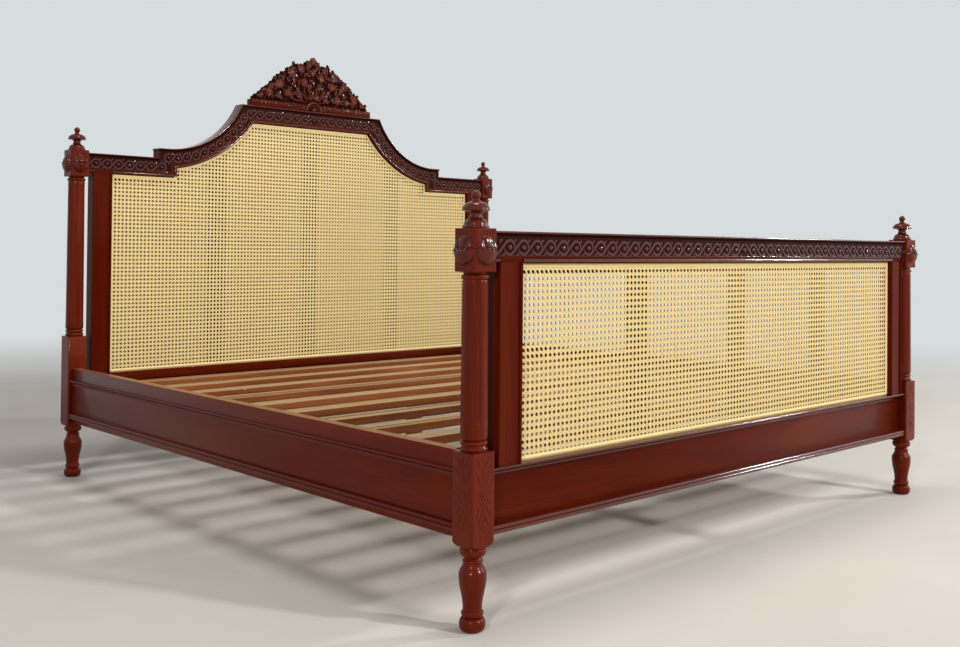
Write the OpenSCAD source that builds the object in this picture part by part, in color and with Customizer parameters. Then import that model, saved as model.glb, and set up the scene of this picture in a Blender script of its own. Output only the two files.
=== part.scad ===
// Four-post bed frame: carved mahogany with woven cane in the headboard and the footboard.
// Millimetres. X runs across the bed, Y from the foot to the head, Z up from the floor.

/* [Bed] */
// Distance across the bed between the axes of the posts
post_span_w = 1990; // [1400:5:2100]
// Distance along the bed between the axes of the posts
post_span_l = 2085; // [1900:5:2200]

/* [Posts] */
// Side of the square blocks
block_side = 66; // [62:1:76]
// Chamfer on the upright edges of the blocks
block_chamfer = 3; // [1:0.5:5]
// Height of the turned foot below the lower block
leg_h = 182; // [170:1:190]
// Widest diameter of the turned foot
leg_d = 61; // [52:1:66]
// Height of the lower block of a foot post
foot_block_h = 202; // [195:1:230]
// Height of the lower block of a head post
head_block_h = 314; // [250:1:360]
// Height of the top block
top_block_h = 94; // [90:1:105]
// Diameter of the shaft under the top block
shaft_top_d = 56; // [50:1:60]
// Diameter of the shaft over the lower block
shaft_bottom_d = 60; // [52:1:61]
// Diameter of the rings at both ends of the shaft
ring_d = 61; // [61:1:66]
// Number of flutes round the shaft
flutes = 8; // [6:1:10]
// Width of a flute
flute_w = 9; // [6:0.5:11]
// Depth of a flute
flute_depth = 2; // [1:0.5:3]

/* [Finials] */
// Height of a finial above its block
finial_h = 82; // [70:1:95]
// Diameter of the mushroom cap
finial_cap_d = 62; // [50:1:64]
// Diameter of the dowel under a finial
dowel_d = 16; // [10:1:20]
// Length of the dowel under a finial
dowel_l = 26; // [20:1:27]
// Diameter of a carved boss
boss_d = 58; // [40:1:60]
// Height of a carved boss over its block
boss_h = 16; // [6:1:18]

/* [Panel frames] */
// Height of the footboard rail and the headboard rail, without the cap
rail_face_h = 57; // [50:1:62]
// Thickness of the panel frames, front to back
frame_t = 44; // [36:1:48]
// Thickness of the cap moulding
cap_t = 11; // [8:1:14]
// Width of the cap moulding, front to back
cap_w = 58; // [50:1:60]
// Width of a stile
stile_w = 72; // [50:1:90]
// Open gap between a post's block and its stile
stile_gap = 18; // [10:1:30]
// Underside of the footboard's top rail above the floor
foot_opening_top = 789; // [780:1:795]
// Underside of the headboard's shoulder above the floor
head_opening_top = 1080; // [1075:1:1090]
// Diameter of the bead along the inner edge of a rail
bead_d = 8; // [5:1:10]
// Width of the carved scroll band
band_w = 39; // [34:1:42]
// Pitch of the scrolls along the straight rails
scroll_pitch = 43.6; // [38:0.2:50]
// Pitch of the scrolls along the sweeps
sweep_pitch = 38.5; // [38:0.5:44]
// Height of a scroll over the rail's face
scroll_h = 4; // [2:0.5:6]
// Width of a muntin, the upright bar behind a cane panel
muntin_w = 76; // [50:1:90]
// Thickness of a muntin
muntin_t = 12; // [8:1:15]
// Length of a tenon
tenon_l = 25; // [15:1:28]
// Thickness of a tenon
tenon_t = 14; // [10:1:18]

/* [Headboard arch] */
// Step from the shoulder up to the foot of the sweep
arch_step = 36; // [20:1:38]
// Distance from the bed's centre to that step's outer corner
arch_step_x = 693; // [685:1:740]
// Distance from the bed's centre to that step's inner corner
arch_inner_x = 626; // [600:1:640]
// Rise from the foot of the sweep to the top rail
arch_rise = 199; // [160:1:220]
// Radius of the outer sweep
sweep_r_outer = 344; // [300:1:380]
// Distance from the bed's centre to the foot of the outer sweep
sweep_x_outer = 655; // [650:1:680]
// Radius of the inner sweep
sweep_r_inner = 500; // [480:1:520]
// Distance from the bed's centre to the centre of the inner sweep
sweep_x_inner = 691; // [685:1:700]

/* [Crest] */
// Height of the plinth under the crest
plinth_h = 28; // [20:1:40]
// Width of the plinth
plinth_w = 594; // [500:1:640]
// Thickness of the plinth
plinth_t = 34; // [26:1:40]
// Height of the carved crest above its plinth
crest_h = 204; // [150:1:240]
// Thickness of the carved crest's ground
crest_t = 18; // [12:1:24]

/* [Cane] */
// Thickness of a cane panel: webbing over a thin backing board
cane_t = 6; // [4:0.5:8]
// Distance from the frame's face back to the cane
cane_setback = 12; // [10:1:16]
// Thickness of the board behind the headboard's cane
rear_board_t = 4; // [3:0.5:6]
// Width of the cane spline round a panel
spline_w = 6; // [4:0.5:9]
// Thickness of the spline over the cane
spline_t = 2.5; // [1.5:0.5:4]

/* [Rails] */
// Underside of the rails above the floor
rail_bottom = 195; // [190:1:205]
// Top of the footboard's bottom rail above the floor
foot_rail_top = 345; // [335:1:350]
// Top of the headboard's bottom rail above the floor
head_rail_top = 358; // [350:1:370]
// Thickness of the rail boards
rail_t = 30; // [24:1:34]
// Distance from the blocks' faces back to the footboard's bottom board
rail_recess = 27; // [18:1:30]
// Distance from the blocks' faces back to a side rail's board
side_recess = 13; // [8:1:20]
// Projection of the mouldings on the footboard's bottom board
moulding_out = 22; // [12:1:24]
// Projection of the mouldings on a side rail
side_moulding_out = 10; // [6:1:12]
// Height of the cove moulding
cove_h = 18; // [12:1:24]
// Height of the double bead
double_bead_h = 18; // [12:1:24]
// Height of the plain band over a side rail's cove moulding
side_band_h = 40; // [30:1:50]

/* [Slats] */
// Height of the slat tops above the floor
slat_top = 330; // [322:1:340]
// Thickness of a slat
slat_t = 22; // [16:1:26]
// Width of a slat
slat_w = 70; // [60:1:90]
// Distance from the foot posts' axes to the middle of the first slat
slat_clear_foot = 77; // [75:1:120]
// Distance from the middle of the last slat to the head posts' axes
slat_clear_head = 108; // [75:1:130]
// Gap between a slat's end and the side rail
slat_gap = 2; // [1:0.5:4]
// Side of the ledger that carries the slats
ledger_side = 30; // [24:1:36]
// Width of the centre beam
beam_w = 70; // [50:1:90]
// Height of the centre beam
beam_h = 60; // [45:1:70]
// Side of a centre leg
centre_leg_side = 45; // [40:1:55]
// Distance between the centre legs
centre_leg_span = 700; // [400:10:1000]

/* [Fittings] */
// Height of a hook plate
plate_h = 120; // [100:1:125]
// Width of a hook plate
plate_w = 18; // [16:1:20]
// Thickness of a hook plate
plate_t = 3; // [2:0.5:4]
// Reach of a hook into its post
hook_reach = 14; // [10:1:18]
// Diameter of a screw's shank
screw_d = 4; // [3:0.5:4.5]
// Diameter of a screw's head
screw_head_d = 8; // [7:0.5:9]
// Length of a slat screw
slat_screw_l = 42; // [36:1:46]

/* [Hidden] */

mahogany = [0.36, 0.12, 0.07];
mahogany_dark = [0.25, 0.07, 0.04];
cane_colour = [0.88, 0.78, 0.55];
slat_wood = [0.66, 0.52, 0.36];
steel = [0.62, 0.62, 0.60];

$fn = 48;
fit = 0.3;             // clearance of a tenon, a dowel or a screw in its hole
cut = 1;               // how far a cutting body runs past the face that it opens

half_w = post_span_w / 2;
half_l = post_span_l / 2;
half_block = block_side / 2;
inner_x = half_w - half_block;         // inner faces of the blocks, across the bed
inner_y = half_l - half_block;         // inner faces of the blocks, along the bed
stile_outer_x = inner_x - stile_gap;
opening_x = stile_outer_x - stile_w;   // half the width of both cane openings

foot_block_top = leg_h + foot_block_h;
head_block_top = leg_h + head_block_h;
foot_top_block_z = foot_opening_top - 21;
head_top_block_z = head_opening_top - 18;

// Heights and radii of the headboard's outline
shoulder_top = head_opening_top + rail_face_h + cap_t;
sweep_foot_z = shoulder_top + arch_step;
arch_top = sweep_foot_z + arch_rise;
inner_foot_z = sweep_foot_z - rail_face_h - cap_t - 6;
arch_opening_top = arch_top - cap_t - rail_face_h;
outer_centre_z = sweep_foot_z + sweep_r_outer;
inner_centre_z = inner_foot_z + sweep_r_inner;
// Half widths of the top rail at its top edge and at its lower edge
arch_half_top = sweep_x_outer - sqrt(pow(sweep_r_outer, 2) - pow(sweep_r_outer - arch_rise, 2));
arch_half_low = sweep_x_inner - sqrt(pow(sweep_r_inner, 2) - pow(inner_centre_z - arch_opening_top, 2));

// Planes of the rails
recess_x = half_w + half_block - side_recess;   // outer face of a side rail's board
recess_y = half_l + half_block - rail_recess;   // outer face of the footboard's bottom board
side_rail_top = foot_block_top;
ledger_top = slat_top - slat_t;
cane_y = frame_t / 2 - cane_setback - cane_t / 2;   // cane's middle plane, from the post axes

// Places of the slats along the bed, the last one close to the headboard
slat_count = 11;
slat_pitch = (post_span_l - slat_clear_foot - slat_clear_head) / (slat_count - 1);
slat_last_y = half_l - slat_clear_head;
function slat_y(i) = slat_last_y - (slat_count - i) * slat_pitch;

// Points of a smooth swell or hollow between two radii, as [radius, height] pairs
function sweep_points(z0, r0, z1, r1, n = 8) =
  [for (i = [0:n]) [r0 + (r1 - r0) * (1 - cos(180 * i / n)) / 2, z0 + (z1 - z0) * i / n]];
// Points of a half-round bead that stands out from radius r by its own half height
function bead_points(z0, z1, r, out, n = 8) =
  [for (i = [0:n]) [r + out * sin(180 * i / n), z0 + (z1 - z0) * (1 - cos(180 * i / n)) / 2]];

// A turned solid on the Z axis from a list of [radius, height] points, closed along the axis
module turned(points) {
  rotate_extrude($fn = 64)
    polygon(concat([[0, points[0][1]]], points, [[0, points[len(points) - 1][1]]]));
}

// Square prism with chamfered upright edges, centred on the Z axis
module square_block(z, h) {
  s = half_block;
  c = block_chamfer;
  translate([0, 0, z])
    linear_extrude(h)
      polygon([[s, -s + c], [s, s - c], [s - c, s], [-s + c, s], [-s, s - c], [-s, -s + c],
               [-s + c, -s], [s - c, -s]]);
}

// Foot of a post: ball, ring, vase, neck and collar, up to the lower block
module turned_foot() {
  r = leg_d / 2;
  k = leg_h / 182;
  turned(concat(
    [[r - 11.5, 0]],
    bead_points(0, 31 * k, r - 11.5, 10),
    [[r - 9, 32 * k]],
    bead_points(33 * k, 44 * k, r - 9, 3),
    sweep_points(48 * k, r - 9.5, 118 * k, r),
    sweep_points(122 * k, r, 147 * k, r - 9.5, 6),
    bead_points(147 * k, 153 * k, r - 10.5, 2.5, 6),
    sweep_points(156 * k, r - 12.5, 163 * k, r - 4, 4),
    bead_points(164 * k, 177 * k, r - 4, 2.5),
    [[r - 5, leg_h + cut]]
  ));
}

// Shaft of a post between two heights, with its rings and its flutes
module shaft(z0, z1) {
  rb = shaft_bottom_d / 2;
  rt = shaft_top_d / 2;
  rr = ring_d / 2;
  ring = 4.5;
  low = z0 + 28;      // where the fluted part starts
  high = z1 - 20;     // where it ends
  difference() {
    turned(concat(
      [[rr - 3, z0 - cut]],
      bead_points(z0 + 1, z0 + 1 + 2 * ring, rr - 3, 3),
      [[rr - 4, z0 + 12]],
      bead_points(z0 + 14, z0 + 14 + 2 * ring, rr - 3.5, 3),
      sweep_points(z0 + 24, rr - 4.5, low, rb, 4),
      sweep_points(high, rt, z1 - 17, rt - 1, 3),
      bead_points(z1 - 16, z1 - 6, rr - 3.5, 3.5),
      [[rr - 5, z1 - 4], [rr - 3, z1 + cut]]
    ));
    flute_cuts(low + 36, high - 16, rb, rt);
  }
}

// Round-ended hollows along the shaft, between two heights
module flute_cuts(z0, z1, r0, r1) {
  tool_r = (pow(flute_w / 2, 2) + pow(flute_depth, 2)) / (2 * flute_depth);
  lean = atan((r0 - r1) / (z1 - z0));
  for (i = [0 : flutes - 1])
    rotate([0, 0, (i + 0.5) * 360 / flutes])
      translate([r0 - flute_depth + tool_r, 0, z0])
        rotate([0, -lean, 0]) {
          cylinder(h = z1 - z0, r = tool_r, $fn = 32);
          sphere(r = tool_r, $fn = 32);
          translate([0, 0, z1 - z0])
            sphere(r = tool_r, $fn = 32);
        }
}

// Lower block with the rounded shoulder that the lathe leaves at its foot
module lower_block(h) {
  corner = half_block * sqrt(2);
  intersection() {
    square_block(leg_h, h);
    turned([[half_block, leg_h - cut], [half_block, leg_h], [corner, leg_h + 10], [corner, leg_h + h + cut]]);
  }
}

// One post at the origin; the rails' mortises are cut where it is placed
module post_body(block_top, top_block_z) {
  turned_foot();
  lower_block(block_top - leg_h);
  shaft(block_top, top_block_z);
  square_block(top_block_z, top_block_h);
}

// Post at one corner. side is -1 on the left, end is -1 at the foot
module post(side, end) {
  block_top = end < 0 ? foot_block_top : head_block_top;
  top_z = end < 0 ? foot_top_block_z : head_top_block_z;
  top_rail_z = end < 0 ? foot_opening_top : head_opening_top;
  low_rail_h = (end < 0 ? foot_rail_top : head_rail_top) - rail_bottom;
  low_rail_y = end < 0 ? -recess_y + rail_t / 2 : half_l;
  color(mahogany)
    difference() {
      translate([side * half_w, end * half_l, 0])
        post_body(block_top, top_z);
      // Bore for the finial's dowel
      translate([side * half_w, end * half_l, top_z + top_block_h - dowel_l - fit])
        cylinder(h = dowel_l + fit + cut, d = dowel_d + 2 * fit);
      // Mortises for the top rail and the bottom rail
      mortise(side, end * half_l, top_rail_z, rail_face_h);
      mortise(side, low_rail_y, rail_bottom, low_rail_h);
      // Pocket for the slotted plate and the hooks behind it
      plate_pocket(side, end);
    }
}

// Hole for a rail's tenon in the inner face of a post
module mortise(side, y, z, h) {
  depth = tenon_l + fit;
  translate([side * (inner_x + depth / 2 - cut / 2), y, z + h / 2])
    cube([depth + cut, tenon_t + 2 * fit, h - 2 * tenon_t + 2 * fit], center = true);
}

// Tenon on the end of a rail that runs across the bed
module tenon(side, y, z, h) {
  translate([side * (inner_x + tenon_l / 2 - cut / 2), y, z + h / 2])
    cube([tenon_l + cut, tenon_t, h - 2 * tenon_t], center = true);
}

// Finial: flared base, small ring, mushroom cap and knob, with a dowel below
module finial(side, end) {
  top_z = (end < 0 ? foot_top_block_z : head_top_block_z) + top_block_h;
  k = finial_h / 82;
  c = finial_cap_d / 2;
  color(mahogany)
    translate([side * half_w, end * half_l, top_z]) {
      turned(concat(
        [[29, 0], [29.5, 3 * k]],
        sweep_points(4 * k, 27.5, 20 * k, 12.5),
        bead_points(21 * k, 26 * k, 12, 2.5, 6),
        [[11.5, 28 * k]],
        sweep_points(29 * k, 12, 37 * k, c - 1, 5),
        [[c, 38 * k], [c, 40 * k]],
        [for (i = [1:7]) [8 + (c - 9) * cos(i * 11.5), (40 + 15 * sin(i * 12.8)) * k]],
        [[7.5, 57 * k]],
        sweep_points(59 * k, 7, 70 * k, 10, 5),
        [for (i = [1:6]) [10 * cos(i * 14.5), (71 + 11 * sin(i * 15)) * k]]
      ));
      translate([0, 0, -dowel_l])
        cylinder(h = dowel_l + cut, d = dowel_d);
    }
}

// Carved boss: a round swelling with a button at its centre, on the Z axis
module boss() {
  r = boss_d / 2;
  turned(concat(
    [[r, 0], [r, 1.5]],
    [for (i = [1:6]) [r * cos(i * 11), 1.5 + (boss_h - 3) * sin(i * 15)]],
    [[r * 0.3, boss_h - 2]],
    [for (i = [1:5]) [r * 0.26 * cos(i * 18), boss_h - 2 + 2 * sin(i * 18)]]
  ));
}

// The three bosses on the outer face, the front face and the back face of a top block
module bosses(side, end) {
  z = (end < 0 ? foot_top_block_z : head_top_block_z) + top_block_h / 2;
  color(mahogany)
    translate([side * half_w, end * half_l, z]) {
      translate([side * half_block, 0, 0])
        rotate([0, side * 90, 0])
          boss();
      for (s = [-1, 1])
        translate([0, s * half_block, 0])
          rotate([-s * 90, 0, 0])
            boss();
    }
}

// Straight board across the bed, from face to face of the posts' blocks
module cross_board(y, t, z, h) {
  translate([-inner_x, y - t / 2, z])
    cube([2 * inner_x, t, h]);
}

module foot_top_rail() {
  color(mahogany) {
    cross_board(-half_l, frame_t, foot_opening_top, rail_face_h);
    for (s = [-1, 1])
      tenon(s, -half_l, foot_opening_top, rail_face_h);
  }
}

// Flat moulding with half-round edges along X, its underside at z
module cap_strip(x0, x1, y, z) {
  flat = cap_w - cap_t;
  translate([x0, y - flat / 2, z])
    cube([x1 - x0, flat, cap_t]);
  for (s = [-1, 1])
    translate([x0, y + s * flat / 2, z + cap_t / 2])
      rotate([0, 90, 0])
        cylinder(h = x1 - x0, d = cap_t);
}

module foot_cap_moulding() {
  color(mahogany)
    cap_strip(-inner_x, inner_x, -half_l, foot_opening_top + rail_face_h);
}

// One scroll: a round button in a ringed eye, on the Z axis
module scroll() {
  turned(concat(
    [[band_w / 2 - 1, 0]],
    [for (i = [0:6]) [band_w / 2 - 4 + 3 * cos(i * 30), scroll_h * (0.4 + 0.6 * sin(i * 30))]],
    [[8, 0.8], [7, 0.8]],
    [for (i = [1:5]) [6.5 * cos(i * 17), 0.8 + (scroll_h - 0.8) * sin(i * 18)]]
  ));
}

// Height of the middle of the carved band over the rail's underside
band_mid = bead_d + band_w / 2 + (rail_face_h - bead_d - band_w) / 2;
band_ground = 1.5;   // thickness of the band's flat ground

module foot_scroll_band() {
  face_y = -half_l - frame_t / 2;
  z = foot_opening_top + band_mid;
  n = floor(inner_x / scroll_pitch);
  color(mahogany_dark) {
    translate([-inner_x, face_y - band_ground, z - band_w / 2])
      cube([2 * inner_x, band_ground, band_w]);
    for (i = [-n + 1 : n - 1])
      translate([i * scroll_pitch, face_y - band_ground + 0.5, z])
        rotate([90, 0, 0])
          scroll();
    // Part scrolls that run into the posts
    for (s = [-1, 1])
      intersection() {
        translate([s * n * scroll_pitch, face_y - band_ground + 0.5, z])
          rotate([90, 0, 0])
            scroll();
        translate([s > 0 ? inner_x - band_w : -inner_x, face_y - 20, z - band_w])
          cube([band_w, 30, 2 * band_w]);
      }
  }
}

// Half-round bead along X on a face that looks along -Y, its lower edge at z
module bead_strip(x0, x1, face_y, z) {
  intersection() {
    translate([x0, face_y, z + bead_d / 2])
      rotate([0, 90, 0])
        cylinder(h = x1 - x0, d = bead_d);
    translate([x0, face_y - bead_d, z])
      cube([x1 - x0, bead_d, bead_d]);
  }
}

module foot_bead_moulding() {
  face_y = -half_l - frame_t / 2;
  color(mahogany) {
    bead_strip(-opening_x, opening_x, face_y, foot_opening_top);
    bead_strip(-inner_x, -stile_outer_x, face_y, foot_opening_top);
    bead_strip(stile_outer_x, inner_x, face_y, foot_opening_top);
  }
}

// Stile with a thin bead along both front edges; front is -1 where the front looks along -Y
module stile(side, y, z0, z1) {
  r = bead_d / 2;
  color(mahogany) {
    translate([side * (opening_x + stile_w / 2) - stile_w / 2, y - frame_t / 2, z0])
      cube([stile_w, frame_t, z1 - z0]);
    for (x = [opening_x + r, stile_outer_x - r])
      translate([side * x, y - frame_t / 2, z0])
        intersection() {
          cylinder(h = z1 - z0, r = r);
          translate([-r, -r, 0])
            cube([2 * r, r, z1 - z0]);
        }
  }
}

// Three muntins at the quarters of a panel's width, their front faces at y
module muntins(y, z0, z1) {
  for (i = [-1 : 1])
    translate([i * opening_x / 2 - muntin_w / 2, y, z0])
      cube([muntin_w, muntin_t, z1 - z0]);
}

// The bottom rail carries the muntins that stand behind the cane
module foot_bottom_rail() {
  h = foot_rail_top - rail_bottom;
  y = -recess_y + rail_t / 2;
  color(mahogany) {
    muntins(-half_l - cane_y + cane_t / 2, foot_rail_top, foot_opening_top);
    difference() {
      cross_board(y, rail_t, rail_bottom, h);
      beam_mortise(y);
    }
    for (s = [-1, 1])
      tenon(s, y, rail_bottom, h);
  }
}

// Pocket for the end of the centre beam, in the inner face of a rail whose middle is at y
beam_tenon_l = 12;
module beam_mortise(y) {
  translate([-beam_w / 2 - fit, y + rail_t / 2 - beam_tenon_l - fit, ledger_top - beam_h - fit])
    cube([beam_w + 2 * fit, beam_tenon_l + fit + cut, beam_h + 2 * fit]);
}

// Cross-section of the cove moulding, out along +X from the board, its top edge at 0
module cove_profile(out) {
  lip = 6;
  difference() {
    translate([0, -cove_h])
      square([out - lip / 2, cove_h]);
    translate([out + 1, -cove_h])
      scale([1, (cove_h - lip) / (out - 1)])
        circle(r = out - 1);
  }
  translate([out - lip / 2, -lip / 2])
    circle(d = lip, $fn = 24);
}

// Cross-section of the double bead, out along +X from the board, its lower edge at 0
module double_bead_profile(out) {
  r = double_bead_h / 4;
  square([out - r, double_bead_h]);
  for (z = [r, 3 * r])
    translate([out - r, z])
      circle(r = r, $fn = 24);
}

// Lays a cross-section along X over the board's face, with the section's +X towards -Y
module along_x(x0, x1, y, z) {
  translate([x0, y, z])
    rotate([90, 0, 90])
      linear_extrude(x1 - x0)
        mirror([1, 0])
          children();
}

module foot_rail_mouldings() {
  color(mahogany) {
    along_x(-inner_x, inner_x, -recess_y, foot_rail_top)
      cove_profile(moulding_out);
    along_x(-inner_x, inner_x, -recess_y, rail_bottom + 8)
      double_bead_profile(moulding_out);
  }
}

module foot_cane_panel() {
  color(cane_colour)
    translate([-opening_x, -half_l - cane_y - cane_t / 2, foot_rail_top])
      cube([2 * opening_x, cane_t, foot_opening_top - foot_rail_top]);
}

// Rectangular frame of spline in front of the cane
module foot_cane_spline() {
  y = -half_l - cane_y - cane_t / 2 - spline_t;
  h = foot_opening_top - foot_rail_top;
  color(cane_colour)
    difference() {
      translate([-opening_x, y, foot_rail_top])
        cube([2 * opening_x, spline_t, h]);
      translate([-opening_x + spline_w, y - cut, foot_rail_top + spline_w])
        cube([2 * (opening_x - spline_w), spline_t + 2 * cut, h - 2 * spline_w]);
    }
}

// Upright disc of the headboard, its flat faces across Y: the sweeps are cut with it
module sweep_disc(side, r, inner, y0, t) {
  x = inner ? sweep_x_inner : sweep_x_outer;
  z = inner ? inner_centre_z : outer_centre_z;
  translate([side * x, y0 + t, z])
    rotate([90, 0, 0])
      cylinder(h = t, r = r, $fn = 180);
}

// Everything under the headboard's outline, lowered by inset; y0 and t place it front to back
module arch_body(inset, y0, t, floor_z) {
  step = shoulder_top - inset;
  translate([-inner_x, y0, floor_z])
    cube([2 * inner_x, t, step - floor_z]);
  difference() {
    translate([-arch_step_x + inset - cap_t, y0, floor_z])
      cube([2 * (arch_step_x - inset + cap_t), t, arch_top - inset - floor_z]);
    for (s = [-1, 1]) {
      sweep_disc(s, sweep_r_outer + inset, false, y0 - cut, t + 2 * cut);
      translate([s > 0 ? sweep_x_outer : -arch_step_x - cut, y0 - cut, sweep_foot_z - inset])
        cube([arch_step_x - sweep_x_outer + cut, t + 2 * cut, arch_rise + cut]);
    }
  }
}

// The headboard's opening, made smaller by inset; floor_z is its lower edge
module arch_opening(inset, y0, t, floor_z) {
  translate([-opening_x + inset, y0, floor_z])
    cube([2 * (opening_x - inset), t, head_opening_top - inset - floor_z]);
  crown_opening(inset, y0, t, floor_z);
}

// The part of that opening between the two sweeps
module crown_opening(inset, y0, t, floor_z) {
  difference() {
    translate([-arch_inner_x + inset, y0, floor_z])
      cube([2 * (arch_inner_x - inset), t, arch_opening_top - inset - floor_z]);
    for (s = [-1, 1])
      sweep_disc(s, sweep_r_inner + inset, true, y0 - cut, t + 2 * cut);
  }
}

// The whole swept rail of the headboard, before it is cut into its lengths
module arch_rail(y0, t) {
  difference() {
    arch_body(cap_t, y0, t, head_opening_top);
    crown_opening(0, y0 - cut, t + 2 * cut, head_opening_top - cut);
  }
}

// Wedge over the mitre lines: what belongs to the straight top rail
module top_rail_zone(grow) {
  slope = (arch_half_top - arch_half_low) / (arch_top - arch_opening_top);
  low_z = arch_opening_top - 60;
  high_z = arch_top + 60;
  low_x = arch_half_low - slope * 60 + grow;
  high_x = arch_half_top + slope * 60 + grow;
  translate([0, half_l + frame_t, 0])
    rotate([90, 0, 0])
      linear_extrude(2 * frame_t)
        polygon([[-low_x, low_z], [low_x, low_z], [high_x, high_z], [-high_x, high_z]]);
}

module head_top_rail() {
  color(mahogany)
    intersection() {
      arch_rail(half_l - frame_t / 2, frame_t);
      top_rail_zone(0);
    }
}

// Block of space on one side of the headboard's centre, above or below the shoulder joint
module side_zone(side, x0, x1, z0, z1) {
  translate([side > 0 ? x0 : -x1, half_l - frame_t, z0])
    cube([x1 - x0, 2 * frame_t, z1 - z0]);
}

joint_z = inner_foot_z + 8;   // level bed of the joint between a shoulder and a sweep

module head_sweep_rail(side) {
  color(mahogany)
    difference() {
      intersection() {
        arch_rail(half_l - frame_t / 2, frame_t);
        side_zone(side, 0, arch_step_x, inner_foot_z - cut, arch_top);
      }
      top_rail_zone(0);
      side_zone(side, arch_inner_x, arch_step_x + cut, 0, joint_z);
    }
}

module head_shoulder_rail(side) {
  color(mahogany) {
    translate([side > 0 ? arch_step_x : -inner_x, half_l - frame_t / 2, head_opening_top])
      cube([inner_x - arch_step_x, frame_t, rail_face_h]);
    translate([side > 0 ? arch_inner_x : -arch_step_x - cut, half_l - frame_t / 2, head_opening_top])
      cube([arch_step_x - arch_inner_x + cut, frame_t, joint_z - head_opening_top]);
    tenon(side, half_l, head_opening_top, rail_face_h);
  }
}

// Cap moulding over the whole outline of the headboard
module head_cap_moulding() {
  flat = cap_w - cap_t;
  color(mahogany) {
    cap_strip(-inner_x, -arch_step_x, half_l, shoulder_top - cap_t);
    cap_strip(arch_step_x, inner_x, half_l, shoulder_top - cap_t);
    cap_strip(-arch_step_x, -sweep_x_outer, half_l, sweep_foot_z - cap_t);
    cap_strip(sweep_x_outer, arch_step_x, half_l, sweep_foot_z - cap_t);
    cap_strip(-arch_half_top, arch_half_top, half_l, arch_top - cap_t);
    for (s = [-1, 1])
      intersection() {
        translate([s * sweep_x_outer, half_l, outer_centre_z])
          rotate([90, 0, 0])
            rotate_extrude($fn = 180)
              translate([sweep_r_outer + cap_t / 2, 0]) {
                square([cap_t, flat], center = true);
                for (e = [-1, 1])
                  translate([0, e * flat / 2])
                    circle(d = cap_t, $fn = 24);
              }
        translate([s > 0 ? arch_half_low : -sweep_x_outer, half_l - cap_w, sweep_foot_z - 2 * cap_t])
          cube([sweep_x_outer - arch_half_low, 2 * cap_w, arch_rise + cap_t]);
      }
  }
}

// Angle on the outer sweep, from straight down, at a distance along the middle of the band
function sweep_angle(d) = d / (sweep_r_outer + cap_t + rail_face_h - band_mid) * 180 / PI;
shoulder_scrolls = 7;   // scrolls along each shoulder
sweep_scrolls = 11;     // scrolls along each sweep

// Ground of the carved band: the rail's face without its inner bead
module head_scroll_band() {
  face_y = half_l - frame_t / 2;
  top_z = arch_top - cap_t - rail_face_h + band_mid;
  low_z = head_opening_top + band_mid;
  mid_r = sweep_r_outer + cap_t + rail_face_h - band_mid;
  edge = (rail_face_h - band_w - bead_d) / 2;
  n_top = floor(arch_half_top / scroll_pitch);
  color(mahogany_dark) {
    difference() {
      arch_body(cap_t + edge, face_y - band_ground, band_ground, head_opening_top + bead_d + edge);
      arch_opening(-bead_d - edge, face_y - band_ground - cut, band_ground + 2 * cut, head_opening_top - cut);
    }
    translate([0, face_y - band_ground + 0.5, 0])
      rotate([90, 0, 0]) {
        for (i = [-n_top : n_top])
          translate([i * scroll_pitch, top_z, 0])
            scroll();
        for (s = [-1, 1]) {
          for (i = [0 : shoulder_scrolls - 1])
            translate([s * (inner_x - 27 - i * (scroll_pitch - 1.3)), low_z, 0])
              scroll();
          for (i = [0 : sweep_scrolls - 1])
            translate([s * (sweep_x_outer - mid_r * sin(sweep_angle(i * sweep_pitch))),
                       outer_centre_z - mid_r * cos(sweep_angle(i * sweep_pitch)), 0])
              scroll();
        }
      }
  }
}

module head_bead_moulding() {
  face_y = half_l - frame_t / 2;
  color(mahogany) {
    for (s = [-1, 1]) {
      bead_strip(s > 0 ? arch_inner_x : -opening_x, s > 0 ? opening_x : -arch_inner_x, face_y,
                 head_opening_top);
      bead_strip(s > 0 ? stile_outer_x : -inner_x, s > 0 ? inner_x : -stile_outer_x, face_y,
                 head_opening_top);
      // Bead up the step to the foot of the sweep
      intersection() {
        translate([s * (arch_inner_x + bead_d / 2), face_y, head_opening_top])
          cylinder(h = inner_foot_z + 4 - head_opening_top, d = bead_d);
        translate([s * (arch_inner_x + bead_d / 2) - bead_d / 2, face_y - bead_d, head_opening_top])
          cube([bead_d, bead_d, inner_foot_z + 4 - head_opening_top]);
      }
      // Swept bead along the edge of the opening
      intersection() {
        translate([s * sweep_x_inner, face_y, inner_centre_z])
          rotate([90, 0, 0])
            rotate_extrude($fn = 180)
              intersection() {
                translate([sweep_r_inner - bead_d / 2, 0])
                  circle(d = bead_d, $fn = 24);
                translate([sweep_r_inner - bead_d, 0])
                  square([bead_d, bead_d]);
              }
        translate([s > 0 ? arch_half_low : -arch_inner_x, face_y - bead_d, inner_foot_z - cut])
          cube([arch_inner_x - arch_half_low, bead_d, arch_opening_top - inner_foot_z + cut + bead_d]);
      }
    }
    bead_strip(-arch_half_low, arch_half_low, face_y, arch_opening_top);
  }
}

module head_bottom_rail() {
  h = head_rail_top - rail_bottom;
  muntin_y = half_l - cane_y + cane_t / 2;
  color(mahogany) {
    difference() {
      muntins(muntin_y, head_rail_top, arch_opening_top);
      for (s = [-1, 1])
        sweep_disc(s, sweep_r_inner, true, muntin_y - cut, muntin_t + 2 * cut);
    }
    difference() {
      union() {
        cross_board(half_l, rail_t, rail_bottom, h);
        // Seat under the stiles and the cane, as thick as the panel frame
        translate([-inner_x, half_l - frame_t / 2, head_rail_top - rail_t])
          cube([2 * inner_x, frame_t, rail_t]);
      }
      mirror([0, 1, 0])
        beam_mortise(-half_l);
    }
    for (s = [-1, 1])
      tenon(s, half_l, rail_bottom, h);
  }
}

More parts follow.
